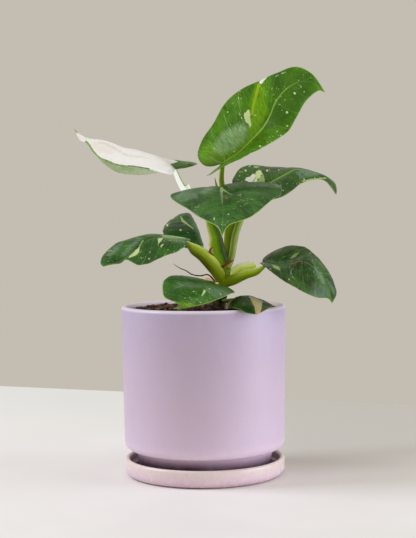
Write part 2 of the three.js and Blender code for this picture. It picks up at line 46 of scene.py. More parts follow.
# The photo's frame, in pixels, and the camera that took it, in millimetres and degrees
PHOTO_WIDTH, PHOTO_HEIGHT = 416, 538
FOCAL_PIXELS = 1235.0
CAMERA_PLACE = np.array([0.0, -1051.0, 222.3])
CAMERA_PITCH, CAMERA_YAW, CAMERA_ROLL = math.radians(2.6), math.radians(0.23), math.radians(-0.58)
SENSOR_MM = 36.0

# Pot, saucer and soil, as in the part's source, but the pot's lower edge is sharper and 1 mm lower here
GAP = 0.3
SAUCER = {"radius": 68.3, "base": 62.0, "height": 14.8, "wall": 4.4, "floor": 6.0, "edge": 2.1, "corner": 3.0}
POT = {
    "rim": 70.0, "low": 68.2, "height": 144.0, "wall": 6.0, "bottom": 22.4, "fillet": 6.5,
    "foot_top": 58.5, "foot": 55.5, "ring": 7.0, "recess": 2.0, "floor": 6.5, "step": 31.0,
    "step_drop": 5.0, "step_width": 4.0, "inner_foot": 50.0, "inner_corner": 3.0, "drain": 6.0,
    "ring_corner": 0.6,
}
SOIL = {"wall_level": 141.0, "shoulder_level": 142.5, "mound_level": 143.0, "mound_radius": 30.0}
ROUND_STEPS = 160

# Leaf blades: rows of faces cross the midrib and fan out near the base
ROWS, HALF_COLUMNS = 160, 36
ROW_POWER, LAST_ROW = 1.7, 0.997
HALF_THICKNESS = 0.24


def srgb(red, green, blue):
    """Linear colour from the 0 to 255 values of a screen colour"""
    values = np.array([red, green, blue]) / 255
    linear = np.where(values <= 0.04045, values / 12.92, ((values + 0.055) / 1.055) ** 2.4)
    return (*linear, 1.0)


def xy(*numbers):
    """Places in the photo, in pixels, from a run of numbers"""
    return np.reshape(numbers, (-1, 2))


def xyz(*numbers):
    """Points in mm, or spots in the photo with their radius, from a run of numbers"""
    return np.reshape(numbers, (-1, 3))


def camera_axes():
    """The camera's right, up and forward in the part's frame"""
    forward = np.array([math.sin(CAMERA_YAW) * math.cos(CAMERA_PITCH),
                        math.cos(CAMERA_YAW) * math.cos(CAMERA_PITCH), -math.sin(CAMERA_PITCH)])
    level = np.array([math.cos(CAMERA_YAW), -math.sin(CAMERA_YAW), 0.0])
    above = np.cross(level, forward)
    right = level * math.cos(CAMERA_ROLL) + above * math.sin(CAMERA_ROLL)
    up = above * math.cos(CAMERA_ROLL) - level * math.sin(CAMERA_ROLL)
    return right, up, forward


RIGHT, UP, FORWARD = camera_axes()


def photo_pixels(points):
    """Where points, in millimetres, show in the photo, and how many millimetres a pixel is there"""
    rel = points - CAMERA_PLACE
    depth = rel @ FORWARD
    x = PHOTO_WIDTH / 2 + FOCAL_PIXELS * (rel @ RIGHT) / depth
    y = PHOTO_HEIGHT / 2 - FOCAL_PIXELS * (rel @ UP) / depth
    return np.stack([x, y], axis=-1), depth / FOCAL_PIXELS


def make_camera():
    data = bpy.data.cameras.new("camera")
    data.sensor_width = SENSOR_MM
    data.lens = FOCAL_PIXELS * SENSOR_MM / PHOTO_HEIGHT
    data.clip_start, data.clip_end = 0.01, 20
    camera = bpy.data.objects.new("camera", data)
    bpy.context.scene.collection.objects.link(camera)
    turn = Matrix((RIGHT, UP, -FORWARD)).transposed().to_4x4()
    camera.matrix_world = Matrix.Translation(Vector(CAMERA_PLACE * MM)) @ turn
    bpy.context.scene.camera = camera


# Curves and meshes
class Curve:
    """Centripetal Catmull-Rom curve through points, read by its length from 0 to 1"""

    def __init__(self, points, per_span=40):
        p = np.array(points, float)
        p = np.vstack([2 * p[0] - p[1], p, 2 * p[-1] - p[-2]])
        t = np.linspace(0, 1, per_span, endpoint=False)[:, None]
        spans = []
        for a, b, c, d in zip(p, p[1:], p[2:], p[3:]):
            before, here, after = (math.sqrt(np.linalg.norm(q - r)) for q, r in ((b, a), (c, b), (d, c)))
            start = ((b - a) / before - (c - a) / (before + here) + (c - b) / here) * here
            end = ((c - b) / here - (d - b) / (here + after) + (d - c) / after) * here
            square = 3 * (c - b) - 2 * start - end
            cube = 2 * (b - c) + start + end
            spans.append(b + start * t + square * t**2 + cube * t**3)
        self.points = np.vstack([*spans, p[-2:-1]])
        steps = np.linalg.norm(np.diff(self.points, axis=0), axis=1)
        self.length = steps.sum()
        self.places = np.concatenate([[0], np.cumsum(steps)]) / self.length

    def at(self, u):
        return np.stack([np.interp(u, self.places, self.points[:, i]) for i in range(3)], axis=-1)

    def along(self, u, step=2e-3):
        u = np.asarray(u, float)
        way = self.at(np.minimum(u + step, 1)) - self.at(np.maximum(u - step, 0))
        return unit(way)


def unit(vectors):
    return vectors / np.maximum(np.linalg.norm(vectors, axis=-1, keepdims=True), 1e-12)


def smoothstep(low, high, value):
    x = np.clip((value - low) / (high - low), 0, 1)
    return x * x * (3 - 2 * x)


def bell(value, width):
    return np.exp(-((value / width) ** 2))


def value_at(values, u):
    """Straight-line reading of a list of values at u from 0 to 1"""
    return np.interp(np.asarray(u) * (len(values) - 1), np.arange(len(values)), values)


def noise_at(points, size, seed=0.0, octaves=3):
    """Smooth noise from -1 to 1 at points in millimetres, with features of a size"""
    shift = Vector((seed * 17.3, seed * 5.9, seed * 11.1))
    values = [noise.fractal(Vector(p / size) + shift, 1.0, 2.0, octaves) for p in points.reshape(-1, 3)]
    return np.array(values).reshape(points.shape[:-1])


def make_mesh(name, points, faces, materials, attributes=None, face_materials=None):
    """Object from points in millimetres, smooth, with named numbers on its points"""
    mesh = bpy.data.meshes.new(name)
    mesh.from_pydata((np.asarray(points) * MM).tolist(), [], [list(map(int, f)) for f in faces])
    mesh.validate()
    for attribute, values in (attributes or {}).items():
        layer = mesh.attributes.new(attribute, "FLOAT", "POINT")
        layer.data.foreach_set("value", np.asarray(values, np.float32).ravel())
    for material in materials:
        mesh.materials.append(material)
    if face_materials is not None:
        mesh.polygons.foreach_set("material_index", np.asarray(face_materials, np.int32))
    mesh.shade_smooth()
    mesh.update()
    piece = bpy.data.objects.new(name, mesh)
    bpy.context.scene.collection.objects.link(piece)
    return piece


def settle(piece, node):
    """A piece that stands for a CAD node: it hangs from the root body, and the node is hidden"""
    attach(piece, "root")
    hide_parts(node)


# Materials
class Shader:
    """A new material and short ways to add nodes to it"""

    def __init__(self, name):
        self.material = bpy.data.materials.new(name)
        self.material.use_nodes = True
        self.tree = self.material.node_tree
        self.surface = self.tree.nodes["Principled BSDF"]
        self.place = self.node("ShaderNodeTexCoord").outputs["Object"]

    def node(self, kind, **settings):
        made = self.tree.nodes.new(kind)
        for key, value in settings.items():
            setattr(made, key, value)
        return made

    def feed(self, socket, value):
        if isinstance(value, bpy.types.NodeSocket):
            self.tree.links.new(value, socket)
        else:
            socket.default_value = value

    def math(self, operation, *values):
        made = self.node("ShaderNodeMath", operation=operation)
        for socket, value in zip(made.inputs, values):
            self.feed(socket, value)
        return made.outputs[0]

    def times(self, first, second):
        return self.math("MULTIPLY", first, second)

    def times_add(self, first, second, added):
        return self.math("MULTIPLY_ADD", first, second, added)

    def about_zero(self, value):
        """A value from 0 to 1 as one from -0.5 to 0.5"""
        return self.math("SUBTRACT", value, 0.5)

    def number(self, name):
        return self.node("ShaderNodeAttribute", attribute_name=name).outputs["Fac"]

    def mix(self, factor, first, second):
        made = self.node("ShaderNodeMix", data_type="RGBA")
        factor_in, first_in, second_in = made.inputs[0], made.inputs[6], made.inputs[7]
        for socket, value in ((factor_in, factor), (first_in, first), (second_in, second)):
            self.feed(socket, value)
        return made.outputs[2]

    def place_mm(self):
        apart = self.node("ShaderNodeSeparateXYZ")
        self.feed(apart.inputs[0], self.place)
        return [self.times(part, 1 / MM) for part in apart.outputs]

    def height_mm(self):
        return self.place_mm()[2]

    def radius_mm(self):
        x, y, _ = self.place_mm()
        return self.math("SQRT", self.times_add(x, x, self.times(y, y)))

    def step(self, value, low, high, to_low=0.0, to_high=1.0):
        made = self.node("ShaderNodeMapRange", interpolation_type="SMOOTHSTEP")
        for socket, number in zip(made.inputs, (value, low, high, to_low, to_high)):
            self.feed(socket, number)
        return made.outputs[0]

    def combine(self, x, y, z=0.0):
        made = self.node("ShaderNodeCombineXYZ")
        for socket, value in zip(made.inputs, (x, y, z)):
            self.feed(socket, value)
        return made.outputs[0]

    def noise(self, size_mm, detail=2.0, roughness=0.5, vector=None):
        """Noise from 0 to 1 with features of a size, in object space unless a vector in mm is given"""
        made = self.node("ShaderNodeTexNoise")
        self.feed(made.inputs["Vector"], self.place if vector is None else vector)
        made.inputs["Scale"].default_value = (1 / MM if vector is None else 1.0) / size_mm
        made.inputs["Detail"].default_value = detail
        made.inputs["Roughness"].default_value = roughness
        return made.outputs["Fac"]

    def cells(self, size_mm, vector):
        made = self.node("ShaderNodeTexVoronoi")
        self.feed(made.inputs["Vector"], vector)
        made.inputs["Scale"].default_value = 1 / size_mm
        return made.outputs["Distance"], made.outputs["Color"]

    def ramp(self, value, stops):
        made = self.node("ShaderNodeValToRGB")
        elements = made.color_ramp.elements
        for element, (place, color) in zip(elements, (stops[0], stops[-1])):
            element.position, element.color = place, color
        for place, color in stops[1:-1]:
            elements.new(place).color = color
        self.feed(made.inputs["Fac"], value)
        return made.outputs["Color"]

    def bump(self, height, distance_mm):
        made = self.node("ShaderNodeBump")
        made.inputs["Strength"].default_value = 1.0
        made.inputs["Distance"].default_value = distance_mm * MM
        self.feed(made.inputs["Height"], height)
        self.feed(self.surface.inputs["Normal"], made.outputs["Normal"])

    def finish(self, color, roughness, **sockets):
        self.feed(self.surface.inputs["Base Color"], color)
        self.feed(self.surface.inputs["Roughness"], roughness)
        for name, value in sockets.items():
            self.feed(self.surface.inputs[name.replace("_", " ")], value)
        return self.material


# Colours of the marks on the leaves, in the order in which they are painted. Some are painted light and shade
# rather than the leaves' own colours, as said above each.
MARKS = {
    # painted light and shade, not the leaf's colour: painted shade, painted light, a painted highlight, a
    # painted sheen, a painted dull reflection and a painted glow of light through the leaf
    "shade": srgb(40, 78, 22),
    "lit": srgb(132, 186, 44),
    "shine": srgb(160, 196, 136),
    "sheen": srgb(124, 152, 124),
    "painted_reflection": srgb(74, 70, 52),
    "painted_glow": srgb(116, 168, 4),
    # the leaf's own warm tone, then painted shade along a fold
    "warm": srgb(238, 229, 212),
    "painted_crease_shade": srgb(222, 216, 203),
    # the leaves' own colours
    "yellow": srgb(148, 182, 18),
    "pale": srgb(150, 175, 104),
    "grey": srgb(120, 138, 128),
    "beige": srgb(176, 160, 110),
    "cream": srgb(206, 220, 160),
    "milk": srgb(226, 223, 206),
    "white": srgb(246, 245, 240),
    "dark": srgb(44, 72, 30),
    "rust": srgb(226, 96, 30),
    "moss": srgb(134, 174, 84),
}
# Soft patches: how far their border fades, in mm, and how strongly they show. All but the warm tone are
# painted light or shade.
SOFT_MARKS = {
    "shade": (2.4, 0.5), "lit": (2.6, 0.8), "shine": (3.0, 0.75), "sheen": (1.5, 0.6), "painted_reflection": (0.8, 0.6),
    "painted_glow": (2.2, 0.95), "warm": (1.8, 0.7), "painted_crease_shade": (0.7, 0.8),
}
# Patches with a more ragged border than the rest, in mm
RAGGED = {"cream": 1.5, "beige": 1.3, "milk": 1.3, "moss": 0.3}
# How far the borders of patches, round spots and the white leaf's green wander, and where they fade, in mm
MARK_WANDER, DOT_WANDER, GREEN_WANDER = 0.8, 0.5, 2.4
MARK_BORDER, DOT_BORDER, GREEN_BORDER = (-0.28, 0.22), (-0.25, 0.2), (-0.25, 0.25)
# Specks: the space of each in mm, how far it reaches in it, the share of spaces without one, and whether it
# is fine (0) or large (1). The underside has them half as strong.
SPECK_KINDS = ((1.5, 0.4, 0.72, 0), (2.6, 0.36, 0.76, 0), (7.0, 0.26, 0.8, 1))
UNDER_SPECKS = 0.5
# Sizes of the leaf's patterns, in mm
STREAK_MM, MOTTLE_MM, TONE_MM, CROWD_MM, WOBBLE_MM, SKIN_MM, GLOSS_MM = 1.1, 1.3, 17.0, 21.0, 1.7, 0.7, 9.0
# How much streaks, mottles and specks are drawn out along the side veins
STREAK_DRAW, MOTTLE_DRAW, SPECK_DRAW = 0.16, 0.5, 0.55
# Where the margin fades, in mm, and the rib, as a share of its half width
MARGIN_FADE, RIB_FADE = (0.3, 0.75), (0.5, 1.1)
VEIN_WIDTH = 0.05
MARGIN_COLOR = srgb(150, 176, 66)
WHITE_STREAK = srgb(216, 220, 190)


def specks(s, color, place, size, reach, share, strength, crowd):
    """Cream specks: a cell has one if its chance is over a share, and it is then the larger the luckier"""
    distance, chance = s.cells(size, place)
    luck = s.node("ShaderNodeSeparateColor")
    s.feed(luck.inputs[0], chance)
    radius = s.times(s.math("SUBTRACT", luck.outputs[0], share), reach / (1 - share))
    ragged = s.times_add(s.about_zero(s.noise(0.8)), 0.25, distance)
    mask = s.times(s.step(s.math("SUBTRACT", radius, ragged), -0.02, 0.05), crowd)
    return s.mix(s.times(mask, strength), color, MARKS["cream"])


def leaf_material(name, look, under):
    """Upper or lower face of a leaf. look has its two greens, its marks, and how strongly its side veins and
    its fine and large specks show."""
    s = Shader(name)
    vein_place, side, edge, rib_share, along = (
        s.number(k) for k in ("vein_place", "side_mm", "edge_mm", "rib_share", "along_mm"))
    deep, light = look.get("under", UNDERSIDE) if under else look["greens"]
    # fine streaks run out along the side veins
    streaks = s.noise(STREAK_MM, 3.0, 0.65, s.combine(along, s.times(side, STREAK_DRAW)))
    mottle = s.noise(MOTTLE_MM, 2.0, 0.6, s.combine(along, s.times(side, MOTTLE_DRAW)))
    color = s.mix(s.step(s.noise(TONE_MM, 3.0), 0.36, 0.66), deep, light)
    color = s.mix(s.step(streaks, 0.48, 0.64, 0.0, 0.7), color, light)
    color = s.mix(s.step(streaks, 0.36, 0.48, 0.8, 0.0), color, deep)
    color = s.mix(s.step(mottle, 0.54, 0.68, 0.0, 0.6), color, light)
    # side veins, shifted by half a space from one half of the leaf to the other
    half_space = s.times(s.math("GREATER_THAN", side, 0.0), 0.5)
    shifted = s.times_add(vein_place, float(SIDE_VEINS), half_space)
    vein_line = s.step(s.math("PINGPONG", shifted, 0.5), 0.0, VEIN_WIDTH, 1.0, 0.0)
    color = s.mix(s.times(vein_line, look["veins"]), color, look["rib"])
    # specks are drawn out along the veins and come in crowds
    crowd = s.step(s.noise(CROWD_MM, 2.0), 0.4, 0.6)
    speck_place = s.combine(along, s.times(side, SPECK_DRAW))
    for size, reach, share, kind in SPECK_KINDS:
        strength = look["specks"][kind] * (UNDER_SPECKS if under else 1.0)
        color = specks(s, color, speck_place, size, reach, share, strength, crowd)
    wobble = s.about_zero(s.noise(WOBBLE_MM, 3.0, 0.6))
    if look.get("white"):
        cream = s.mix(s.step(streaks, 0.55, 0.8, 0.0, 0.3), MARKS["white"], WHITE_STREAK)
        reach = s.times_add(wobble, GREEN_WANDER, s.number("green_mm"))
        color = s.mix(s.step(reach, *GREEN_BORDER), color, cream)
    # soft marks other than the warm tone paint light and shade onto the leaf: painted shade, painted light,
    # painted highlights, painted reflections and a painted glow
    for kind in (k for k in MARKS if k in look["marks"]):
        reach = s.times_add(wobble, RAGGED.get(kind, MARK_WANDER), s.number(kind + "_mm"))
        if kind in SOFT_MARKS:
            fade, shows = SOFT_MARKS[kind]
            mask = s.step(reach, -fade, fade, shows, 0.0)
            mask = s.times(mask, s.step(streaks, 0.38, 0.56, 0.35, 1.0))
        else:
            mask = s.step(reach, *MARK_BORDER, 1.0, 0.0)
        color = s.mix(mask, color, MARKS[kind])
    if "dots" in look:
        reach = s.times_add(wobble, DOT_WANDER, s.number("dots_mm"))
        color = s.mix(s.step(reach, *DOT_BORDER, 0.9, 0.0), color, MARKS["cream"])
    margin = s.times(s.step(edge, *MARGIN_FADE, 1.0, 0.0), s.number("margin"))
    color = s.mix(margin, color, MARGIN_COLOR)
    rib = s.times(s.step(rib_share, *RIB_FADE, 1.0, 0.0), s.number("rib"))
    color = s.mix(rib, color, look["rib"])
    height = s.times_add(streaks, 0.6, s.times(s.noise(SKIN_MM, 2.0), 0.3))
    if not under:
        height = s.times_add(vein_line, -0.5, height)
    s.bump(height, 0.2)
    low, high = (0.5, 0.62) if under else (0.3, 0.42)
    return s.finish(color, s.step(s.noise(GLOSS_MM, 2.0), 0.3, 0.7, low, high), Specular_IOR_Level=0.22)


# Leaves: the outlines are the part's own, and left and right end at the midrib's tip. marks are outlines in
# the photo's pixels of patches on a leaf, by kind, and dots are its round spots, with their radius. rib_shows
# and margin_shows are how strongly the rib and the margin show from base to tip. bulge is how far a half
# stands out from flat, as a share of its width.
BULGE = 0.08
UNDERSIDE = (srgb(84, 116, 62), srgb(112, 142, 84))
# Soft marks other than the warm tone are painted light and shade, not patches of the leaf's own colour.
LEAVES = {
    "top": {
        "midrib": xyz(17, 0, 264, 30.5, 3, 272, 42.4, 5, 283.3, 52.2, 6, 294.1, 58.5, 6.5, 304.8, 63, 8,
            315.7, 72.5, 11, 327.2, 84.7, 15, 334, 96.8, 18, 332.8, 107, 20, 325),
        "left": xyz(14, -1, 263.5, 8, -4, 261.5, 1, -6, 263, -3.5, -7, 270, 0.5, -6, 284, 9.5, -4, 297, 20.5,
            0, 315.5, 34, 5, 327, 49, 9, 334.3, 66, 17, 342.4, 82, 21, 347.5, 96, 22, 341.3),
        "right": xyz(18, -3, 262, 11, -9, 258, 4, -17, 253, 15, -24, 258.6, 29, -24, 265.7, 49.8, -18, 276,
            61, -12, 282.2, 72.8, -6, 290.3, 80.3, 2, 301.8, 90.1, 11, 317.6, 101.3, 16, 326.3),
        "bulge": 0,
        "greens": (srgb(58, 106, 6), srgb(88, 142, 20)),
        "rib": srgb(190, 232, 104),
        "rib_shows": [1.0, 0.9, 0.75, 0.4, 0.1, 0.0],
        "rib_width": 1.7,
        "rib_raise": 0.35,
        "specks": (0.75, 0.35),
        "veins": 0.12,
        "marks": {
            "lit": [xy(199, 156, 203, 146, 211, 141, 219, 148, 229, 150, 246, 137, 258, 124, 262, 129, 252,
                143, 236, 156, 222, 164, 203, 164)],
            "painted_glow": [xy(256, 84, 265, 87, 266, 100, 268, 112, 262, 122, 254, 132, 247, 134, 250, 116, 251,
                98)],
            "yellow": [xy(257.8, 83, 260.8, 84.4, 257, 96.5, 254.4, 106.4, 252.8, 116, 251, 115, 252.2,
                104.8, 254.6, 94.8)],
            "cream": [xy(248.7, 108.1, 250.1, 113.1, 249.9, 117.2, 251.4, 125.5, 249.9, 128.4, 248.1, 123.8,
                245.6, 122.2, 243.8, 117.2, 243.9, 113.1, 246.8, 111.8), xy(286, 111.2, 288.8, 111.6, 288,
                113.6, 285.8, 113.4), xy(293.2, 92.4, 296, 92.6, 295.4, 94.6, 293.4, 94.4)],
            "pale": [xy(209.6, 155.4, 215, 159.4, 221.4, 162.6, 220.6, 164, 214.2, 161.2, 209, 157),
                xy(222.6, 152, 224.9, 157.6, 225.6, 163, 224, 163, 223.4, 157.8)],
            "white": [xy(264.2, 75.4, 268, 76.4, 264, 80.6, 261.2, 84.4, 258.8, 82.6, 261, 79.6), xy(275,
                76.6, 278.4, 74.6, 278.8, 75.1, 275.4, 77.1), xy(281, 73.6, 286, 71.8, 286.1, 72.3, 281.2,
                74.1)],
            "shine": [xy(213, 151, 216, 141, 223, 132, 233, 127, 243, 122, 248, 129, 244, 140, 234, 150, 222,
                155)],
            "shade": [xy(264, 128, 270, 120, 276, 106, 281, 92, 270, 86, 274, 72, 294, 68, 312, 76, 318, 92,
                306, 98, 292, 114, 280, 128)],
        },
        "dots": xyz(227.8, 112.1, 0.9, 234.4, 103.1, 0.6, 247.7, 95.2, 0.6, 287.3, 126.1, 0.9, 260.1, 146.5,
            1.1, 234.1, 151.6, 1, 214.1, 148.3, 1, 280, 104.5, 0.7, 285, 99.8, 0.7, 282, 110.2, 0.6, 285.2,
            105.2, 0.6, 255.4, 115.1, 0.7, 216.6, 145.4, 0.6, 205.4, 156.6, 0.6, 210.8, 160.7, 0.6, 263.8,
            82.8, 0.6, 261.3, 89, 0.7, 261.6, 105.2, 0.6, 255.4, 89.4, 0.5, 291.5, 99.5, 0.6, 276.5, 131.5,
            0.5, 298.5, 80.5, 0.6, 304, 92, 0.7),
    },
    "white": {
        "midrib": xyz(-23, 5, 259.5, -32, 5, 268, -42, 4, 272.5, -53, 3, 276, -67, 2, 279, -81, 1, 284, -97,
            1, 287, -104, 0, 290.5, -108, 0, 295),
        "left": xyz(-24, 2, 257, -26, -8, 254.5, -31, -18, 255.5, -39, -24, 257.5, -54, -27, 261, -71, -24,
            263.5, -79, -20, 266.5, -85, -17, 269, -91, -12, 274, -97, -6, 282, -103, -3, 285),
        "right": xyz(-21, 7, 260.5, -12, 10, 261.5, -4, 15, 264.5, -14, 22, 267, -25, 29, 266, -37, 30,
            258.5, -52, 28, 256, -64, 26, 256.5, -74, 22, 258.5, -86, 14, 267, -96, 7, 280, -103, 3, 288),
        "greens": (srgb(66, 104, 44), srgb(112, 142, 86)),
        "under": (srgb(170, 196, 142), srgb(206, 222, 186)),
        "rib": srgb(246, 246, 242),
        "rib_shows": [0.6, 0.5, 0.4, 0.3],
        "white": True,
        "specks": (0.3, 0.0),
        "veins": 0.1,
        "margin_shows": [0.0, 0.0],
        "marks": {
            # painted shade along the fold of the white leaf
            "painted_crease_shade": [xy(99, 141.4, 108, 143.8, 118, 149, 128, 154.8, 138, 156.2, 150, 157.6, 150, 158.6,
                137, 157.8, 126, 156.6, 116, 151, 106, 145.4, 98, 142.6)],
            "warm": [xy(92, 143, 100, 143, 108, 147.4, 117, 153.4, 109, 155.4, 99, 152.4, 93, 147.4)],
            "moss": [xy(84.8, 141, 87, 140.8, 94.2, 151.1, 99, 156.5, 113, 163.9, 130, 167.7, 150, 169.9,
                150, 170.3, 130, 168.3, 113, 164.8, 98.4, 157.4, 93, 151.7), xy(73, 127, 77, 127, 80, 132.4,
                78, 133.4, 73, 131)],
        },
    },
    "right_middle": {
        "midrib": xyz(41, 12, 238.5, 57.5, 20, 246.5, 71, 27, 254, 82, 33, 259.5, 94, 38, 258, 107, 40, 251,
            115, 40, 244, 118, 38, 237),
        "left": xyz(39, 14, 239.5, 31, 13, 243, 26, 16, 248, 29, 26, 255.5, 34, 34, 261.5, 43.5, 42, 264, 60,
            52, 263, 73, 58, 262, 87, 60, 260, 101, 60, 254.5, 111.5, 57, 252, 118, 50, 247.5, 119, 44, 242),
        "right": xyz(39.5, 9, 237.5, 33, 2, 236.5, 29, -4, 235, 33, -10, 231.5, 40, -12, 230, 50, -12, 231,
            61, -3, 233.5, 68, 0, 235.5, 77, 10, 240.5, 85, 18, 246.5, 96, 26, 250, 108, 34, 249),
        "greens": (srgb(36, 70, 24), srgb(70, 106, 44)),
        "under": (srgb(104, 140, 58), srgb(138, 168, 88)),
        "rib": srgb(128, 166, 58),
        "rib_shows": [0.9, 0.9, 0.9, 0.7, 0.3, 0.2],
        "rib_width": 2.2,
        "specks": (0.8, 0.3),
        "veins": 0.15,
        "dots": xyz(245.7, 170.8, 0.9, 267.1, 170.7, 1.1, 235, 183.7, 1, 254.5, 180, 0.5, 261, 177, 0.4,
            239.5, 176, 0.6, 242, 181.5, 0.5),
        "marks": {
            "sheen": [xy(296, 173, 301, 170, 312, 171, 322, 174, 309, 177, 300, 179)],
            "pale": [xy(258.7, 169.5, 261.7, 171.5, 263.6, 175.7, 264.8, 180.2, 264.4, 184.5, 257, 185.5,
                251, 185, 252.2, 180.2, 252.9, 175.7, 255.2, 173), xy(253.3, 166, 258.7, 166.5, 258, 168.4,
                254, 168), xy(301, 181, 311, 178.8, 325, 177.4, 327, 178.8, 313, 180.2, 303, 182)],
            "dark": [xy(257.4, 178.6, 258.8, 178.6, 258.4, 181, 257.2, 180.8), xy(260.8, 174.8, 262, 175,
                261.8, 176.8, 260.8, 176.4)],
            "milk": [xy(253, 173.6, 256.4, 175.6, 254.4, 179, 252.4, 182, 250.6, 184.6, 248, 181.6, 244.6,
                180.4, 246.8, 177.6, 249.7, 176.8)],
            "cream": [xy(256, 171.4, 260.4, 170.6, 262, 175, 259, 178.6, 255, 184.6, 252.8, 183.6, 256.2,
                177.4), xy(245, 169.9, 246.6, 170, 246.4, 171.8, 245, 171.6)],
        },
    },
    "front": {
        "midrib": xyz(15, -8, 244, 15.5, -28, 237.5, 16, -50, 230, 16, -70, 221, 15.5, -87, 213, 15, -98.5,
            203),
        "left": xyz(18, -6, 244, 27, 4, 246, 41, 8, 247, 56, 2, 246.5, 66, -10, 244.5, 65, -24, 236.5, 59,
            -33, 233.5, 52, -44, 228.5, 46, -54, 223.5, 37, -66, 218, 28, -76, 215, 21, -85, 212.5, 17, -92,
            208),
        "right": xyz(12, -6, 243.5, 5.5, 6, 243, -6.5, 8, 240.5, -18, -2, 240, -26.5, -20, 237, -21, -38,
            231, -12.5, -52, 226, -3.5, -66, 219.5, 5, -78, 215, 10.5, -86, 212, 13.5, -93, 208),
        "greens": (srgb(28, 68, 18), srgb(64, 112, 42)),
        "rib": srgb(150, 184, 110),
        "rib_shows": [0.9, 0.4, 0.1, 0.1, 0.2, 0.4],
        "rib_width": 0.7,
        "margin_shows": [0.1, 0.15, 0.2, 0.4, 0.8, 1.0],
        "specks": (0.4, 0.0),
        "veins": 0.06,
        "dots": xyz(240.5, 194.6, 0.6, 228.4, 214.6, 0.8, 257.9, 192.5, 0.5, 256.5, 204.3, 0.4, 247.2, 203.2,
            0.4, 214.3, 218.2, 0.7, 214.1, 219.6, 0.7, 221.7, 224.7, 0.6, 227.7, 221.5, 0.5, 210, 207, 0.4,
            237, 210, 0.4),
        "marks": {
            "shade": [xy(239, 188.5, 250, 184, 284, 184, 284, 190, 279, 198, 272, 198, 256, 192.5)],
            "sheen": [xy(246, 183.6, 268, 183.6, 281, 184, 286, 186.4, 285, 191, 281.6, 188.4, 268, 186.4,
                246, 186.4), xy(173, 197, 182, 191.5, 192, 191, 191, 199, 180, 202.5), xy(190, 192.5, 197,
                193, 197.5, 198.5, 190.5, 198.5), xy(200, 192, 208, 187.5, 216, 186.4, 212, 190, 204,
                194.5)],
            "rust": [xy(225.2, 197.6, 227.3, 197.5, 227.2, 198.6, 225.3, 198.7)],
            "pale": [xy(220.6, 187.4, 222.8, 187.6, 224, 189.4, 229, 192.8, 236, 197.4, 229.2, 194.3, 223.2,
                190.9, 222.4, 194, 222.4, 204, 221.9, 204, 221.6, 193.4, 220.2, 190)],
        },
    },
    "left": {
        "midrib": xyz(-12.5, -12, 198, -23.5, -16, 201, -36, -20, 202, -46, -24, 199.5, -53.5, -28, 193.5,
            -61.5, -31, 186.5, -71.5, -33, 182, -82.5, -34, 179),
        "left": xyz(-12.5, -15, 196.5, -13.5, -20, 195, -16.5, -25, 193.5, -22.5, -36, 190, -28.5, -42,
            188.5, -37, -45, 185, -43.5, -45, 182, -49.5, -44, 180.5, -53.5, -43, 180.5, -57.5, -42, 182.5,
            -63, -41, 184.5, -67, -41, 182, -72.5, -40, 181, -79.5, -37, 180),
        "right": xyz(-11.5, -8, 198.5, -10.5, -2, 200, -17.5, 4, 201, -26.5, 6, 202, -38.5, 5, 203, -50.5, 2,
            203, -58, -2, 202, -66, -8, 199.5, -73.5, -13, 197, -81.5, -20, 190, -84.5, -27, 184.5, -84.5,
            -32, 181),
        "greens": (srgb(34, 74, 20), srgb(66, 114, 42)),
        "rib": srgb(112, 152, 90),
        "rib_shows": [0.5, 0.6, 0.5, 0.3, 0.2, 0.2],
        "specks": (0.8, 0.4),
        "veins": 0.25,
        "dots": xyz(141.2, 258.2, 0.7, 149.2, 258.9, 0.8, 143.3, 258, 0.5, 126, 246, 0.5, 168, 250, 0.5),
        "marks": {
            "sheen": [xy(121, 256, 125, 250, 131, 243.4, 137.6, 238.4, 142, 238.4, 137, 244, 130.6, 251, 125,
                257), xy(108, 254, 116, 246, 124, 242, 118, 250, 110, 258), xy(162, 237.6, 176, 238, 191,
                239.4, 186, 242.4, 172, 241.2)],
            "cream": [xy(139.8, 247.4, 139.2, 252.2, 135.4, 255.9, 128.2, 258.4, 129.6, 255.9, 132.8, 253.6,
                135.8, 250.4), xy(157.6, 238.6, 163.3, 238, 161.8, 240.8, 158.8, 243.8, 157.9, 246.8, 158.2,
                242.6), xy(160.3, 246.5, 161.8, 244.4, 164.2, 244.4, 162.4, 246.2, 161.2, 247.1), xy(176,
                236, 184, 237, 186, 238.4, 178, 238)],
            "pale": [xy(161, 235.2, 183.3, 236.4, 191, 238.6, 183.3, 239, 163.6, 238), xy(139.6, 248.6,
                141.4, 244.6, 144, 240.4, 143, 240, 140, 244.2, 137.8, 248.6)],
        },
    },
    "back_left": {
        "midrib": xyz(-1.5, 12, 193.5, -6.5, 22, 206.5, -13, 34, 213, -20, 48, 218, -26, 62, 217, -31, 76,
            210),
        "left": xyz(-4.5, 8, 192.5, -10, 3, 191.5, -18.5, 3, 194, -28.5, 10, 198.5, -34.5, 22, 205.5, -34,
            35, 210, -32.5, 50, 213, -31, 65, 214),
        "right": xyz(-0.3, 16, 191.5, 0.5, 24, 193.5, -1.8, 38, 200, -4.4, 50, 208, -7.5, 60, 216, -12, 69,
            222, -18.5, 76, 220.5, -26, 79, 215),
        "bulge": 0.06,
        "greens": (srgb(6, 56, 0), srgb(22, 86, 8)),
        "rib": srgb(90, 120, 60),
        "rib_shows": [0.3, 0.4, 0.4, 0.3],
        "specks": (0.5, 0.1),
        "veins": 0.2,
        "dots": xyz(167.4, 225.4, 1.1, 180.5, 230.3, 1, 173, 219, 0.5, 188, 233, 0.5),
        "marks": {
            "pale": [xy(180.3, 215.6, 183.1, 219.1, 188, 223.6, 193.7, 228.5, 193, 229.4, 186.6, 224.9,
                181.8, 221.8, 180.6, 218)],
        },
    },
    "right": {
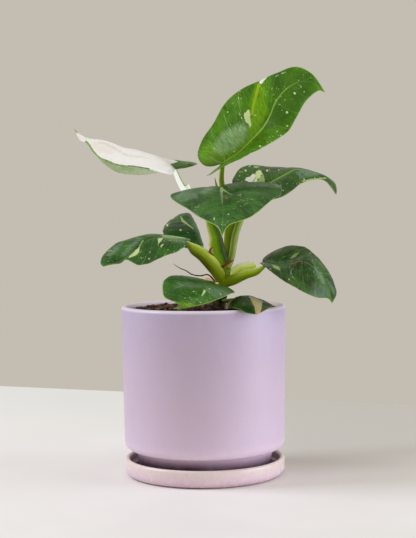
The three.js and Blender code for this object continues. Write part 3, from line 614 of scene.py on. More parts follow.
        "midrib": xyz(50.5, -18, 177.5, 61, -22, 178.5, 71.5, -27, 179.5, 81, -32, 181.5, 88.5, -36, 178.5,
            96.5, -38, 170.5, 103, -38, 161, 106, -36, 147),
        "left": xyz(50, -14, 179.5, 50.5, -7, 182, 54, 1, 185, 61.5, 5, 189.5, 69, 2, 192.5, 78, -2, 194,
            86.5, -6, 192.5, 94.5, -14, 186, 101, -20, 178, 105.5, -26, 171, 109, -30, 162, 110, -33, 154),
        "right": xyz(49.5, -22, 178.5, 47, -29, 180.5, 49.5, -39, 178.5, 54.5, -48, 174.5, 65.5, -54, 166.5,
            72.5, -56, 162.5, 79.5, -56, 158.5, 86.5, -55, 155, 93.5, -51, 152.5, 101.5, -44, 151.5),
        "greens": (srgb(26, 58, 14), srgb(66, 104, 44)),
        "rib": srgb(110, 146, 84),
        "rib_shows": [0.5, 0.4, 0.5, 0.8, 0.8, 0.4],
        "specks": (0.45, 0.0),
        "veins": 0.3,
        "margin_shows": [0.2, 0.2, 0.3, 0.6],
        "dots": xyz(288.9, 279.6, 0.7),
        "marks": {
            # a painted dull reflection on the leaf
            "painted_reflection": [xy(307.6, 273, 309.2, 275, 313, 284, 313.4, 292, 311.2, 292, 309.4, 283)],
            "sheen": [xy(264.5, 262.6, 277, 264.8, 289, 264.6, 303.8, 258.4, 302, 256, 288, 260.6, 277,
                261.6, 268, 260), xy(313, 262, 321, 272, 325, 284, 321, 283, 315, 272)],
            "pale": [xy(299.8, 252.1, 297.5, 254.9, 295.8, 257.2, 291.7, 258.9, 290.6, 258.7, 292.3, 255.5,
                295.2, 253.8), xy(271.6, 264.7, 279.1, 267, 280.3, 271.3, 278, 269.9, 273.4, 268.1), xy(292,
                275.8, 295.6, 279.8, 294.6, 279.6, 291.6, 276.4)],
            "grey": [xy(291.4, 268.4, 292.4, 268.2, 291.6, 272.2, 292.4, 275.2, 290.8, 275.6, 290, 272),
                xy(288.4, 278.8, 289.6, 278.6, 289.2, 280.4, 288, 280.2)],
            "rust": [xy(288.9, 264.8, 296.3, 262.5, 302.6, 260, 302.6, 260.4, 296.3, 263.1, 288.9, 265.1)],
        },
    },
    "lower_left": {
        "midrib": xyz(11, -20, 162.5, -1.5, -32, 164, -13.5, -44, 163.5, -23.5, -53, 160, -27, -59, 155.5,
            -22, -62, 151, -16, -61, 148, -19, -57.5, 146, -25, -54, 145.5),
        "left": xyz(13, -21, 161.5, 19, -25, 160.5, 26, -34, 157, 22, -44, 156, 14.5, -54, 153.5, 3.5, -62,
            150, -5, -64, 148, -11, -63.5, 147, -14.5, -61, 146, -19, -57, 144.8),
        "right": xyz(12, -17, 162, 10, -10, 161.5, 7.5, -6, 163, -4, -10, 166.7, -15, -20, 170, -24, -32,
            171, -29.5, -42, 170, -32.5, -50, 166.5, -33, -56, 161, -31.5, -59.5, 155.5, -27, -61.5, 152.5,
            -20, -62, 150.5, -15.5, -60.5, 148.5, -18, -58.5, 147.5),
        "bulge": 0.06,
        "greens": (srgb(42, 86, 20), srgb(80, 126, 56)),
        "under": (srgb(100, 150, 58), srgb(134, 180, 88)),
        "rib": srgb(70, 104, 40),
        "rib_shows": [0.5, 0.3, 0.2, 0.1],
        "specks": (0.45, 0.0),
        "veins": 0.08,
        "margin_shows": [0.3, 0.6, 0.8, 0.8],
        "dots": xyz(193.5, 291.6, 0.8, 209.5, 289, 0.9, 220.5, 294.3, 0.8, 196.5, 299, 0.5, 200.5, 302.5,
            0.5, 207, 300.5, 0.5, 210.5, 298.6, 0.4, 199, 295, 0.5, 188, 286, 0.5, 182, 292, 0.4),
        "marks": {
            "sheen": [xy(204, 285, 216, 287, 228, 293, 231, 297, 222, 300, 212, 296, 206, 290), xy(176, 282,
                190, 282, 204, 287, 192, 288, 180, 287)],
            "lit": [xy(172, 309, 176, 303, 186, 302, 194, 305, 190, 311, 178, 312)],
            "cream": [xy(203.9, 289.5, 206.1, 290.8, 204.8, 293.5, 203.3, 295, 201.2, 298, 201.5, 295.3, 203,
                292.3)],
        },
    },
    "lower_right": {
        "midrib": xyz(27, -22, 150.5, 31, -33, 153.8, 35, -40, 153, 37.5, -46, 151, 40, -54, 148.5, 42, -62,
            145.5, 42.5, -71, 141),
        "left": xyz(30, -19, 150.5, 35, -15, 152.2, 41, -16, 152, 45.5, -20, 150.3, 49.5, -26, 148, 54, -32,
            146.5, 57, -38, 145.5, 53, -50, 144.5, 48.5, -61, 143),
        "right": xyz(25, -19, 149.5, 22.5, -16, 147.5, 18.5, -24, 145.5, 17.5, -37, 144, 19, -48, 144, 23,
            -57, 145.5, 28.5, -65, 145, 34, -70, 142.5),
        "bulge": 0.06,
        "greens": (srgb(6, 36, 0), srgb(30, 70, 6)),
        "rib": srgb(70, 100, 40),
        "rib_shows": [0.4, 0.3, 0.2],
        "specks": (0.4, 0.0),
        "veins": 0.2,
        "marks": {
            "beige": [xy(248.7, 296.5, 254, 298, 262, 303.1, 261.6, 308.1, 259.5, 314.9, 255.7, 315.3, 254.5,
                308.1, 251.6, 301.5), xy(224.5, 299.5, 233, 298.8, 229.4, 305, 226.6, 311)],
            "grey": [xy(249.5, 295.5, 254, 295.6, 263.4, 302.2, 262.4, 303.6, 253, 299)],
        },
    },
}


def polygon_distance(points, corners):
    """Distance from points to an outline in the same flat units, below zero inside it"""
    corners = np.array(corners, float)
    best = np.full(len(points), np.inf)
    inside = np.zeros(len(points), bool)
    for a, b in zip(corners, np.roll(corners, -1, axis=0)):
        way = b - a
        share = np.clip((points - a) @ way / (way @ way), 0, 1)
        best = np.minimum(best, np.linalg.norm(points - a - share[:, None] * way, axis=1))
        crosses = (a[1] > points[:, 1]) != (b[1] > points[:, 1])
        at = a[0] + (points[:, 1] - a[1]) / (b[1] - a[1] if b[1] != a[1] else 1e-9) * way[0]
        inside ^= crosses & (points[:, 0] < at)
    return np.where(inside, -best, best)


SIDE_VEINS = 9
RELIEF = 0.22
MARGIN_SHOWS = [0.15, 0.3, 0.3, 0.4]
RIB_WIDTH, RIB_TIP_WIDTH, RIB_DEPTH = 1.0, 0.3, 1.15
# Waves of the blade and of its margin: their size and how high they are, in mm
WAVE_SIZE, WAVE_HEIGHT = 24.0, 0.5
MARGIN_WAVE_SIZE, MARGIN_WAVE_HEIGHT = 9.0, 0.55
# A blade thins towards its edge, from this far in, in mm, to this share of its thickness
THIN_FROM, THIN_SHARE = 1.5, 0.35


def leaf_surface(shape):
    """Middle surface of a blade as rows of points, with the places of the points on the leaf"""
    t = np.linspace(0, LAST_ROW, ROWS + 1)
    u = t ** ROW_POWER
    rib = Curve(shape["midrib"])
    middle, along = rib.at(u)[:, None], rib.along(u)[:, None]
    share = np.linspace(0, 1, HALF_COLUMNS + 1)
    # columns lie closer near the midrib and near the margin
    s = (0.4 * share + 0.6 * smoothstep(0, 1, share))[None, :, None]
    halves = []
    for half, sign in (("left", 1), ("right", -1)):
        end = Curve(np.vstack([shape[half], shape["midrib"][-1]])).at(t)[:, None]
        across = end - middle
        normal = unit(np.cross(along, across))
        lift = 2 * shape.get("bulge", BULGE) * np.linalg.norm(across, axis=-1, keepdims=True) * sign
        control = (middle + end) / 2 + normal * lift
        halves.append((1 - s) ** 2 * middle + 2 * s * (1 - s) * control + s**2 * end)
    grid = np.concatenate([halves[0][:, :0:-1], halves[1]], axis=1)
    signed = np.concatenate([-s[0, :0:-1, 0], s[0, :, 0]])
    return grid, t, u, signed, rib.length


def grid_normals(grid):
    return unit(np.cross(np.gradient(grid, axis=1), np.gradient(grid, axis=0)))


def running_length(grid, axis):
    steps = np.linalg.norm(np.diff(grid, axis=axis), axis=-1)
    zero = np.zeros_like(steps.take([0], axis=axis))
    return np.concatenate([zero, np.cumsum(steps, axis=axis)], axis=axis)


def make_blade(name, shape, seed):
    grid, t, u, signed, rib_length = leaf_surface(shape)
    t, u = t[:, None], u[:, None]
    from_left = running_length(grid, 1)
    side = from_left - from_left[:, [HALF_COLUMNS]]
    edge = np.minimum(from_left, from_left[:, [-1]] - from_left)
    along = running_length(grid, 0)
    half = np.abs(signed)[None]
    edge = np.minimum(edge, np.where(half > 0.12, along + 0.05, edge))
    vein_place = t - 0.05 * half**2
    rib_half = RIB_TIP_WIDTH + (shape.get("rib_width", RIB_WIDTH) - RIB_TIP_WIDTH) * (1 - u) ** 0.8
    rib_share = np.abs(side) / rib_half

    # relief on both faces: the blade puffs up between its side veins and waves a little at the margin
    normals = grid_normals(grid)
    phase = vein_place * SIDE_VEINS + np.where(signed > 0, 0.5, 0.0)[None]
    middle_part = np.sin(np.pi * np.clip(half, 0, 1)) ** 0.7
    relief = RELIEF * middle_part * (0.5 - np.cos(2 * np.pi * phase) / 2)
    relief = relief + WAVE_HEIGHT * noise_at(grid, WAVE_SIZE, seed) * np.clip(edge / 6, 0, 1)
    margin_wave = MARGIN_WAVE_HEIGHT * half**4 * noise_at(grid, MARGIN_WAVE_SIZE, seed + 3)
    relief = relief + margin_wave * smoothstep(0, 0.12, t) * (1 - t**6)
    grid = grid + normals * relief[..., None]
    normals = grid_normals(grid)

    thinning = np.sqrt(np.clip(edge / THIN_FROM, 0, 1))
    thickness = HALF_THICKNESS * (THIN_SHARE + (1 - THIN_SHARE) * thinning)
    groove = -shape.get("rib_raise", -0.3) * bell(rib_share, 1.2) * (1 - u)
    ridge = RIB_DEPTH * (1 - u) ** 0.7 * np.sqrt(np.clip(1 - (rib_share / 1.3) ** 2, 0, 1))
    ridge = ridge * np.clip(edge / 0.8, 0, 1)
    upper = grid + normals * (thickness - groove)[..., None]
    lower = grid - normals * (thickness + ridge)[..., None]

    rows, columns = grid.shape[:2]
    count = rows * columns
    index = np.arange(count).reshape(rows, columns)
    a, b, c, d = index[:-1, :-1], index[:-1, 1:], index[1:, 1:], index[1:, :-1]
    top_faces = np.stack([a, b, c, d], axis=-1).reshape(-1, 4)
    under_faces = top_faces[:, ::-1] + count
    border = np.concatenate([index[0, :-1], index[:-1, -1], index[-1, :0:-1], index[:0:-1, 0]])
    after = np.roll(border, -1)
    edge_faces = np.stack([after, border, border + count, after + count], axis=-1)
    faces = np.concatenate([top_faces, under_faces, edge_faces])
    kinds = np.repeat([0, 1, 0], [len(top_faces), len(under_faces), len(edge_faces)])

    attributes = {
        "vein_place": vein_place, "side_mm": side, "edge_mm": edge, "rib_share": rib_share,
        "along_mm": t * rib_length * 1.2, "rib": value_at(shape["rib_shows"], u),
        "margin": value_at(shape.get("margin_shows", MARGIN_SHOWS), t),
    }
    pixels, pixel_mm = photo_pixels(grid.reshape(-1, 3))
    for kind, outlines in shape["marks"].items():
        distance = np.min([polygon_distance(pixels, outline) for outline in outlines], axis=0)
        attributes[kind + "_mm"] = distance * pixel_mm
    if "dots" in shape:
        distance = np.min([np.hypot(*(pixels - (x, y)).T) - radius for x, y, radius in shape["dots"]], axis=0)
        attributes["dots_mm"] = distance * pixel_mm
    if shape.get("white"):
        attributes["green_mm"] = white_leaf_green(signed, t, side, edge)
    for key, values in attributes.items():
        if values.size == count:
            values = values.reshape(rows, columns)
        attributes[key] = np.tile(np.broadcast_to(values, (rows, columns)).ravel(), 2)
    materials = [leaf_material(f"leaf_{name}_{face}", shape, face == "under") for face in ("upper", "under")]
    points = np.concatenate([upper.reshape(-1, 3), lower.reshape(-1, 3)])
    piece = make_mesh(f"leaf_{name}", points, faces, materials, attributes, kinds)
    settle(piece, f"blade_{name}")


# The white leaf's green: where each part of it starts, in mm or as a share of the leaf's length, and how many
# mm a share of 1 stands for. CLEAR, in mm, is well outside the green.
FAR_START, LOBE_END, TIP_START = 9.0, 0.2, 0.978
NEAR_MARGIN = (0.3, 0.86)
LOBE_MM, TIP_MM = 60, 120
CLEAR = 20.0


def white_leaf_green(signed, t, side, edge):
    """How far a point of the white leaf is inside its green parts: the outer far half, a thin line along the
    near margin, the far lobe and the tip. Below zero inside."""
    far = np.where(signed[None] > 0, FAR_START - side, CLEAR)
    lobe = np.where(signed[None] > 0, (t - LOBE_END) * LOBE_MM, CLEAR)
    near_margin = edge - 0.9 - 0.5 * np.sin(t * 9)
    near_margin = np.where((t < NEAR_MARGIN[0]) | (t > NEAR_MARGIN[1]), 5.0, near_margin)
    tip = (TIP_START - t) * TIP_MM
    return np.minimum(np.minimum(far, lobe), np.minimum(near_margin, tip))


for number, (name, shape) in enumerate(LEAVES.items()):
    make_blade(name, shape, number)


# Stalks, stem and threads: the middle lines and half sizes are the part's own
# The colours across a stalk are partly its own and partly painted light: lighter along its lit edge or top,
# darker on its shaded side.
STALKS = {
    "front": {
        "path": xyz(18.5, 0, 173, 16.5, -1.5, 180.5, 13.6, -3, 187.5, 11.6, -3.5, 194.5, 11, -4, 201, 8.8,
            -4.5, 208.6, 7, -5, 216.5, 8.2, -5.6, 225, 11, -7, 234, 14.6, -8.3, 243),
        "widths": [4.4, 5.8, 6.8, 6.5, 5.3, 4.6, 4.5, 4, 2.8, 1.8],
        "depths": [3, 3.6, 4, 3.8, 3.5, 3.3, 3, 2.6, 2, 1.5],
        "face": [0, 1, 0],
        "colors": [(46, 58, 2), (54, 80, 0), (100, 146, 10), (140, 178, 18), (222, 216, 150)],
    },
    "top": {
        "path": xyz(18, 3, 176, 20, 4, 185, 21.3, 4.5, 194.5, 22.2, 5, 203.5, 23.4, 5.5, 214.5, 22.5, 5.5,
            227, 18.2, 4.5, 240, 16.5, 3, 250, 17.4, 1, 263.4),
        "widths": [3, 3.3, 3.6, 3.9, 4.1, 3.2, 2.4, 2.1, 1.9],
        "depths": [2.8, 2.8, 2.8, 2.8, 2.6, 2.4, 2.2, 2, 1.8],
        "colors": [(160, 176, 52), (128, 152, 10), (108, 136, 4), (96, 122, 4), (72, 98, 8)],
    },
    "right_middle": {
        "path": xyz(20, 2, 174, 23.5, 2, 181, 25.2, 2, 188, 26.4, 2.5, 196, 28, 3, 204, 31.4, 5, 214.5, 36.4,
            8, 226.5, 41.3, 11.9, 237.8),
        "widths": [2.8, 2.8, 3, 3.3, 3.5, 3.6, 2.8, 2],
        "depths": [2.6, 2.6, 2.6, 2.6, 2.6, 2.4, 2.2, 1.8],
        "face": [-0.5, -1, 0],
        "colors": [(204, 214, 120), (166, 186, 70), (120, 152, 40), (174, 192, 100), (136, 156, 88)],
    },
    "white": {
        "path": xyz(16.5, 4, 176, 12.4, 7.5, 187, 9, 10.5, 199, 6.9, 12.5, 212, 2.3, 13, 224, -6.2, 12,
            233.5, -15, 9.5, 242, -19.2, 7.5, 249, -23.4, 5.2, 258.8),
        "widths": [2.6, 2.4, 2.2, 2.2, 2.4, 2.8, 3.2, 2.4, 2],
        "depths": [2.2, 2, 1.9, 1.9, 1.9, 1.9, 1.9, 1.9, 1.8],
        "colors": [(240, 240, 232), *[(250, 250, 248)] * 5, (160, 182, 116), (80, 116, 44)],
        "grain": 0.04,
        # painted light: the white stalk glows, to lift it out of the shade of the white leaf above
        "painted_glow": 0.4,
        "slot": "stalk_white",
        "wing": True,
    },
    "left": {
        "path": xyz(15.5, -1, 163, 14.3, -3, 168.5, 11.2, -5.5, 174.5, 5.6, -8, 181.6, -0.2, -9.8, 187.6, -7,
            -11.3, 192.2, -13.2, -12.4, 197.4),
        "widths": [4.4, 5, 5.2, 5, 4.8, 4.4, 3.2],
        "depths": [4.6, 5.6, 6.3, 6.2, 5.9, 5.1, 1.8],
        "face": [0.5, 0, 1],
        "colors": [(94, 98, 12), (112, 126, 12), (142, 160, 26), (164, 186, 50), (218, 228, 130)],
        # painted light on the stalk's lowest part
        "base": (150, 172, 26),
    },
    "back_left": {
        "path": xyz(16, 3, 171, 9, 7.5, 179, 3.5, 10.5, 186, -1.7, 12.2, 193.2),
        "widths": [3.2, 3, 2.6, 2],
        "depths": [2.8, 2.6, 2.2, 1.8],
        "face": [0.5, 0, 1],
        "colors": [(56, 70, 10), (80, 100, 8), (98, 122, 18), (120, 142, 36), (150, 168, 70)],
    },
    "right": {
        "path": xyz(18, -2, 163, 26.5, -6, 166.3, 32.3, -9, 169.2, 37, -11.5, 171, 44.5, -15, 172.8, 50.9,
            -18, 176.8),
        "widths": [4.2, 4.7, 4.8, 4, 2.9, 1.7],
        "depths": [4.4, 4.9, 4.7, 4.2, 3.2, 1.5],
        "face": [-0.4, 0, 1],
        "colors": [(116, 148, 6), (146, 182, 10), (168, 200, 34), (192, 218, 72), (226, 238, 136)],
        # painted light on the stalk's lowest part
        "base": (140, 168, 18),
    },
    "lower_left": {
        "path": xyz(16, -2, 152, 15, -8, 155.5, 13, -14, 159, 11.3, -19, 161.3),
        "widths": [2.8, 2.4, 2, 1.6],
        "depths": [2.6, 2.2, 1.8, 1.5],
        "face": [0, 0, 1],
        "colors": [(56, 78, 12), (76, 102, 18), (96, 124, 30), (120, 144, 50), (150, 168, 80)],
    },
    "lower_right": {
        "path": xyz(16.5, -2, 147.5, 20, -9, 148, 23.5, -15.5, 149, 26.5, -21, 149.8),
        "widths": [2.6, 2.2, 1.9, 1.5],
        "depths": [2.2, 1.9, 1.7, 1.4],
        "face": [0, 0, 1],
        "colors": [(56, 78, 12), (76, 100, 18), (96, 122, 30), (120, 144, 50), (150, 168, 80)],
    },
}
# The stub is painted nearly white along its top, a painted highlight, and lighter overall, painted light
# against the shade of the leaf above.
CUT_STALK = {
    "path": xyz(18, 3, 166.5, 22.5, 4, 170, 26, 4, 173, 31, 4, 175.6, 38.5, 4, 177.2, 45, 4, 178),
    "widths": [3.2, 3.3, 3.4, 3.7, 3.4, 2.6],
    "depths": [2.6, 2.8, 3, 3.6, 3.4, 2.6],
    "face": [-0.4, 0, 1],
    "colors": [(190, 206, 60), (216, 228, 96), (234, 242, 136), (246, 250, 190), (254, 255, 246)],
}
STEM = {
    "path": xyz(12.5, 0, 114, 12.7, 0, 128, 13.2, 0, 142, 15, 0, 156, 17.5, 0, 168, 19, 0, 180),
    "widths": [6.2, 5.8, 5.4, 5.4, 5.6, 4.2],
}
SHEATH_TIP = {
    "path": xyz(17, 4.4, 235, 14.4, 3.6, 240.5, 12, 2.8, 246.5, 10.8, 2.2, 252.3),
    "widths": [1.2, 1.1, 0.9, 0.15],
    "depths": [0.35, 0.35, 0.3, 0.1],
}
DRY_SHEATH = {
    "path": xyz(15, -3, 156, 9, -6.5, 163, 4, -7.5, 166, -1, -7, 166.6),
    "widths": [2.6, 2.2, 1.4, 0.2],
    "depths": [0.25, 0.25, 0.2, 0.1],
    "face": [0, -1, 0.6],
}
THREADS = {
    "aerial_root_long": {
        "path": xyz(13, -3, 161.5, 9.7, -6.5, 164.4, 8.6, -8.5, 166, 6.4, -10, 168.7, 3.4, -11.5, 170.4,
            -2.1, -12, 169.5, -9.5, -12, 170.7, -14.2, -12, 173.8, -19.3, -12, 176, -25.3, -12, 180),
        "widths": [0.75, 0.65, 0.55, 0.5, 0.4, 0.1],
        "colors": (srgb(50, 24, 18), srgb(98, 54, 40), srgb(140, 92, 66)),
    },
    "aerial_root_left": {
        "path": xyz(8.5, -8.5, 185.5, 7, -10.5, 187.5, 6, -11.8, 189.6, 6.4, -12.4, 191.5, 7.8, -12.6,
            193.4),
        "widths": [1.2, 1.15, 1.05, 0.5],
        "colors": (srgb(64, 72, 4), srgb(96, 108, 8), srgb(124, 134, 30)),
        "tip": srgb(126, 40, 44),
    },
    "aerial_root_right": {
        "path": xyz(15.5, -4, 175.5, 17.2, -8, 177.2, 21, -9.5, 179.7, 25.7, -11, 182.3),
        "widths": [1.05, 1.0, 0.9, 0.4],
        "colors": (srgb(70, 34, 14), srgb(112, 48, 24), srgb(150, 70, 40)),
        "tip": srgb(156, 54, 32),
    },
}
# A tube's flat side looks to the viewer of the photo unless its shape says otherwise
TUBE_FACE, THREAD_FACE = (0, -1, 0), (0.3, 1, 0.2)
CAP_RINGS = 6


def tube_mesh(shape, steps=96, sides=28, swell=None, curl=0.0, dome=0.6):
    """Closed body along a curve, with rounded ends. swell gives millimetres to add to the section at a place
    along it and a turn round it. curl bends a flat section into a trough, in mm at its edge."""
    line = Curve(shape["path"])
    cap = np.linspace(np.pi / 2, 0, CAP_RINGS, endpoint=False)
    u = np.concatenate([np.zeros(CAP_RINGS), np.linspace(0, 1, steps + 1), np.ones(CAP_RINGS)])
    scale = np.concatenate([np.cos(cap), np.ones(steps + 1), np.cos(cap[::-1])])
    out = np.concatenate([-np.sin(cap), np.zeros(steps + 1), np.sin(cap[::-1])])
    scale = np.maximum(scale, 1e-3)
    width, depth = value_at(shape["widths"], u), value_at(shape.get("depths", shape["widths"]), u)
    tangent = line.along(u)
    side = unit(np.cross(tangent, unit(np.array(shape.get("face", TUBE_FACE), float))))
    up = np.cross(side, tangent)
    centre = line.at(u) + tangent * (out * dome * depth)[:, None]
    turn = np.linspace(0, 2 * np.pi, sides, endpoint=False)[None]
    extra = swell(u[:, None], turn) if swell else np.zeros((len(u), sides))
    x = np.cos(turn) * (width[:, None] + extra) * scale[:, None]
    y = np.sin(turn) * (depth[:, None] + extra) * scale[:, None] + curl * (x / width[:, None]) ** 2
    points = centre[:, None] + side[:, None] * x[..., None] + up[:, None] * y[..., None]
    rows = len(u)
    index = np.arange(rows * sides).reshape(rows, sides)
    beside = np.roll(index, -1, axis=1)
    walls = np.stack([index[:-1], index[1:], beside[1:], beside[:-1]], axis=-1).reshape(-1, 4)
    faces = [*walls.tolist(), index[0].tolist(), index[-1][::-1].tolist()]
    attributes = {
        "side": np.broadcast_to(np.cos(turn), (rows, sides)),
        "front": np.broadcast_to(np.sin(turn), (rows, sides)),
        "length_mm": np.broadcast_to((u * line.length)[:, None], (rows, sides)),
    }
    return points.reshape(-1, 3), faces, attributes


def make_tube(piece_name, tube, material, node):
    """Piece that stands for a CAD node, from what tube_mesh gives"""
    points, faces, attributes = tube
    settle(make_mesh(piece_name, points, faces, [material], attributes), node)


def streaks_along(s):
    """Fine streaks along a stalk"""
    side, front, length = s.number("side"), s.number("front"), s.number("length_mm")
    round_place = s.combine(s.times(side, 3.0), s.times(front, 3.0), s.times(length, 0.07))
    return s.noise(0.9, 3.0, 0.6, round_place), side, front, length


def finish_skin(s, color, streaks, depth_mm, roughness, specular, painted_glow):
    """Streaked skin of a stalk or stem. glow is painted light: the skin gives off light in its own colour, to
    lift pale or thin parts out of the shade that falls on them.
    """
    s.bump(s.times_add(streaks, 0.7, s.times(s.noise(0.6), 0.3)), depth_mm)
    rough = s.step(s.noise(6.0), 0.3, 0.7, roughness - 0.05, roughness + 0.08)
    return s.finish(color, rough, Specular_IOR_Level=specular, Emission_Color=color, Emission_Strength=painted_glow)


# Painted light: a stalk's lowest part is painted lighter, against the shade between the stalks, up to here,
# in mm
STALK_LIT_BASE = (9.0, 22.0)


def stalk_material(name, colors, across, roughness=0.4, grain=0.4, base=None, painted_glow=0.0):
    """Smooth stalk, coloured across from one edge, or from its underside, to the other, with fine streaks.
    The colours across are partly painted light, lighter on the lit side, and base is painted light on the
    lowest part.
    """
    s = Shader(name)
    streaks, side, front, length = streaks_along(s)
    place = s.times_add(side if across == "side" else front, 0.5, 0.5)
    place = s.times_add(s.about_zero(streaks), grain, place)
    place = s.times_add(s.about_zero(s.noise(11.0, 2.0)), 0.5 * grain, place)
    color = s.ramp(place, [(i / (len(colors) - 1), srgb(*color)) for i, color in enumerate(colors)])
    # painted light on the stalk's lowest part
    if base:
        color = s.mix(s.step(length, *STALK_LIT_BASE, 0.85, 0.0), color, srgb(*base))
    return finish_skin(s, color, streaks, 0.12, roughness, 0.14, painted_glow)


def bark_material(name, colors, ringed=0.0, roughness=0.7, end=None, painted_glow=0.0):
    """Dry or woody skin with streaks and rings. end is where along the body, in mm, it turns to a colour."""
    s = Shader(name)
    dark, middle, light = colors
    streaks, side, front, length = streaks_along(s)
    color = s.mix(s.step(s.noise(5.0, 3.0), 0.35, 0.65), dark, middle)
    color = s.mix(s.step(streaks, 0.5, 0.75, 0.0, 0.6), color, light)
    if end:
        first, last, end_color = end
        uneven = s.times_add(s.about_zero(streaks), 0.4 * (last - first), length)
        color = s.mix(s.step(uneven, first, last), color, end_color)
    rings = s.noise(1.0, 2.0, 0.5, s.combine(s.times(length, 0.5), side, front))
    color = s.mix(s.step(rings, 0.5, 0.66, 0.0, ringed), color, dark)
    return finish_skin(s, color, streaks, 0.15, roughness, 0.3, painted_glow)


# The white stalk's sheath stands out as a wing that ends sharply
WING_START, WING_END, WING_REACH = 0.71, 0.825, 3.4


def make_stalk(name, shape):
    def swell(u, turn):
        channel = -0.22 * value_at(shape["depths"], u) * bell(turn - np.pi / 2, 0.5) * (1 - 0.4 * u)
        ribs = 0.05 * np.cos(9 * turn) + 0.04 * np.cos(14 * turn + 3 * u)
        extra = channel + ribs
        if shape.get("wing"):
            rise = np.where(u < WING_END, np.clip((u - WING_START) / (WING_END - WING_START), 0, 1), 0)
            extra = extra + WING_REACH * rise * np.clip(np.cos(turn), 0, 1) ** 8
        return extra

    points, faces, attributes = tube_mesh(shape, swell=swell)
    if shape.get("wing"):
        # the wing and what is below it are white right across
        below = attributes["length_mm"] < WING_END * Curve(shape["path"]).length + 0.5
        attributes["side"] = np.where(below, np.minimum(attributes["side"], 0.5), attributes["side"])
    across = "front" if shape.get("face", TUBE_FACE)[2] else "side"
    material = stalk_material(f"stalk_{name}", shape["colors"], across, grain=shape.get("grain", 0.4),
                              base=shape.get("base"), painted_glow=shape.get("painted_glow", 0.0))
    tube = (points, faces, attributes)
    make_tube(f"leaf_stalk_{name}", tube, material, f"stalk_{name}")


for name, shape in STALKS.items():
    make_stalk(name, shape)


def make_cut_stalk():
    tube = tube_mesh(CUT_STALK, dome=0.15, swell=lambda u, turn: 0.06 * np.cos(8 * turn))
    # the stub glows a little: painted light
    material = stalk_material("cut_stalk", CUT_STALK["colors"], "front", 0.42, painted_glow=0.12)
    make_tube("stalk_stub", tube, material, "cut_stalk")


# How far along the stem its bark turns to green, in mm, and its rings, as shares of its length
STEM_TURNS_GREEN = (38.0, 45.0)
STEM_RINGS = (0.46, 0.56, 0.64, 0.73, 0.82, 0.91)
STEM_COLORS = (srgb(36, 28, 10), srgb(78, 64, 26), srgb(120, 98, 52))
STEM_GREEN = srgb(118, 140, 14)
SHEATH_TIP_COLORS = [(110, 136, 20), (150, 170, 40), (190, 200, 90)]
# the papery sheath's pale colours are partly painted light
DRY_SHEATH_COLORS = (srgb(222, 184, 132), srgb(250, 224, 178), srgb(254, 240, 214))
# How far along a thread its tip's colour starts, in mm
THREAD_TIP = (3.0, 5.5)


def make_stem():
    """Bark with low rings where old stalks sat"""
    def swell(u, turn):
        rings = sum(0.55 * bell(u - place - 0.012 * np.cos(turn + place * 20), 0.018) for place in STEM_RINGS)
        return rings + 0.12 * np.cos(5 * turn + 9 * u) + 0.08 * np.cos(11 * turn - 14 * u)

    tube = tube_mesh(STEM, steps=200, sides=56, swell=swell)
    material = bark_material("stem", STEM_COLORS, ringed=0.7, end=(*STEM_TURNS_GREEN, STEM_GREEN))
    make_tube("plant_stem", tube, material, "main_stem")


def make_sheaths():
    material = stalk_material("sheath_tip", SHEATH_TIP_COLORS, "side", 0.5)
    tube = tube_mesh(SHEATH_TIP, curl=0.5, dome=0.1)
    make_tube("thin_sheath_tip", tube, material, "sheath_tip")

    def ragged(u, turn):
        return 0.3 * np.cos(turn) ** 2 * (np.sin(u * 40) + 0.6 * np.sin(u * 97 + 1)) * (1 - u)

    # Painted light: the papery sheath glows, and its pale colours are partly painted light, to lift it out of
    # the shade of the leaves above.
    material = bark_material("dry_sheath", DRY_SHEATH_COLORS, ringed=0.1, roughness=0.8, painted_glow=0.3)
    tube = tube_mesh(DRY_SHEATH, swell=ragged, curl=1.1, dome=0.1)
    make_tube("papery_sheath", tube, material, "dry_sheath")


def make_threads():
    for number, (name, shape) in enumerate(THREADS.items()):
        def swell(u, turn, number=number):
            knots = np.sin(u * 47 + number) * np.sin(u * 19 + 2 * number)
            return 0.12 * knots * (1 - u) + 0.03 * np.cos(5 * turn + 30 * u)

        tube = tube_mesh({"face": THREAD_FACE, **shape}, steps=120, sides=14, swell=swell)
        end = (*THREAD_TIP, shape["tip"]) if "tip" in shape else None
        material = bark_material(name, shape["colors"], 0.5, 0.6, end)
        make_tube(f"{name}_thread", tube, material, name)


make_cut_stalk()
make_stem()
make_sheaths()
make_threads()


# Turned pieces: the part's profiles, with finer arcs
SHARP_ANGLE = math.radians(35)


def arc(centre_radius, centre_height, radius, start, end, steps=12):
    """Profile points of an arc between two angles, in degrees"""
    turn = np.radians(np.linspace(start, end, steps + 1))
    return [(centre_radius + radius * math.cos(a), centre_height + radius * math.sin(a)) for a in turn]


def straight(start, end, steps):
    """Profile points between two corners, without the corners"""
    return [tuple(np.array(start) + (np.array(end) - start) * i / steps) for i in range(1, steps)]


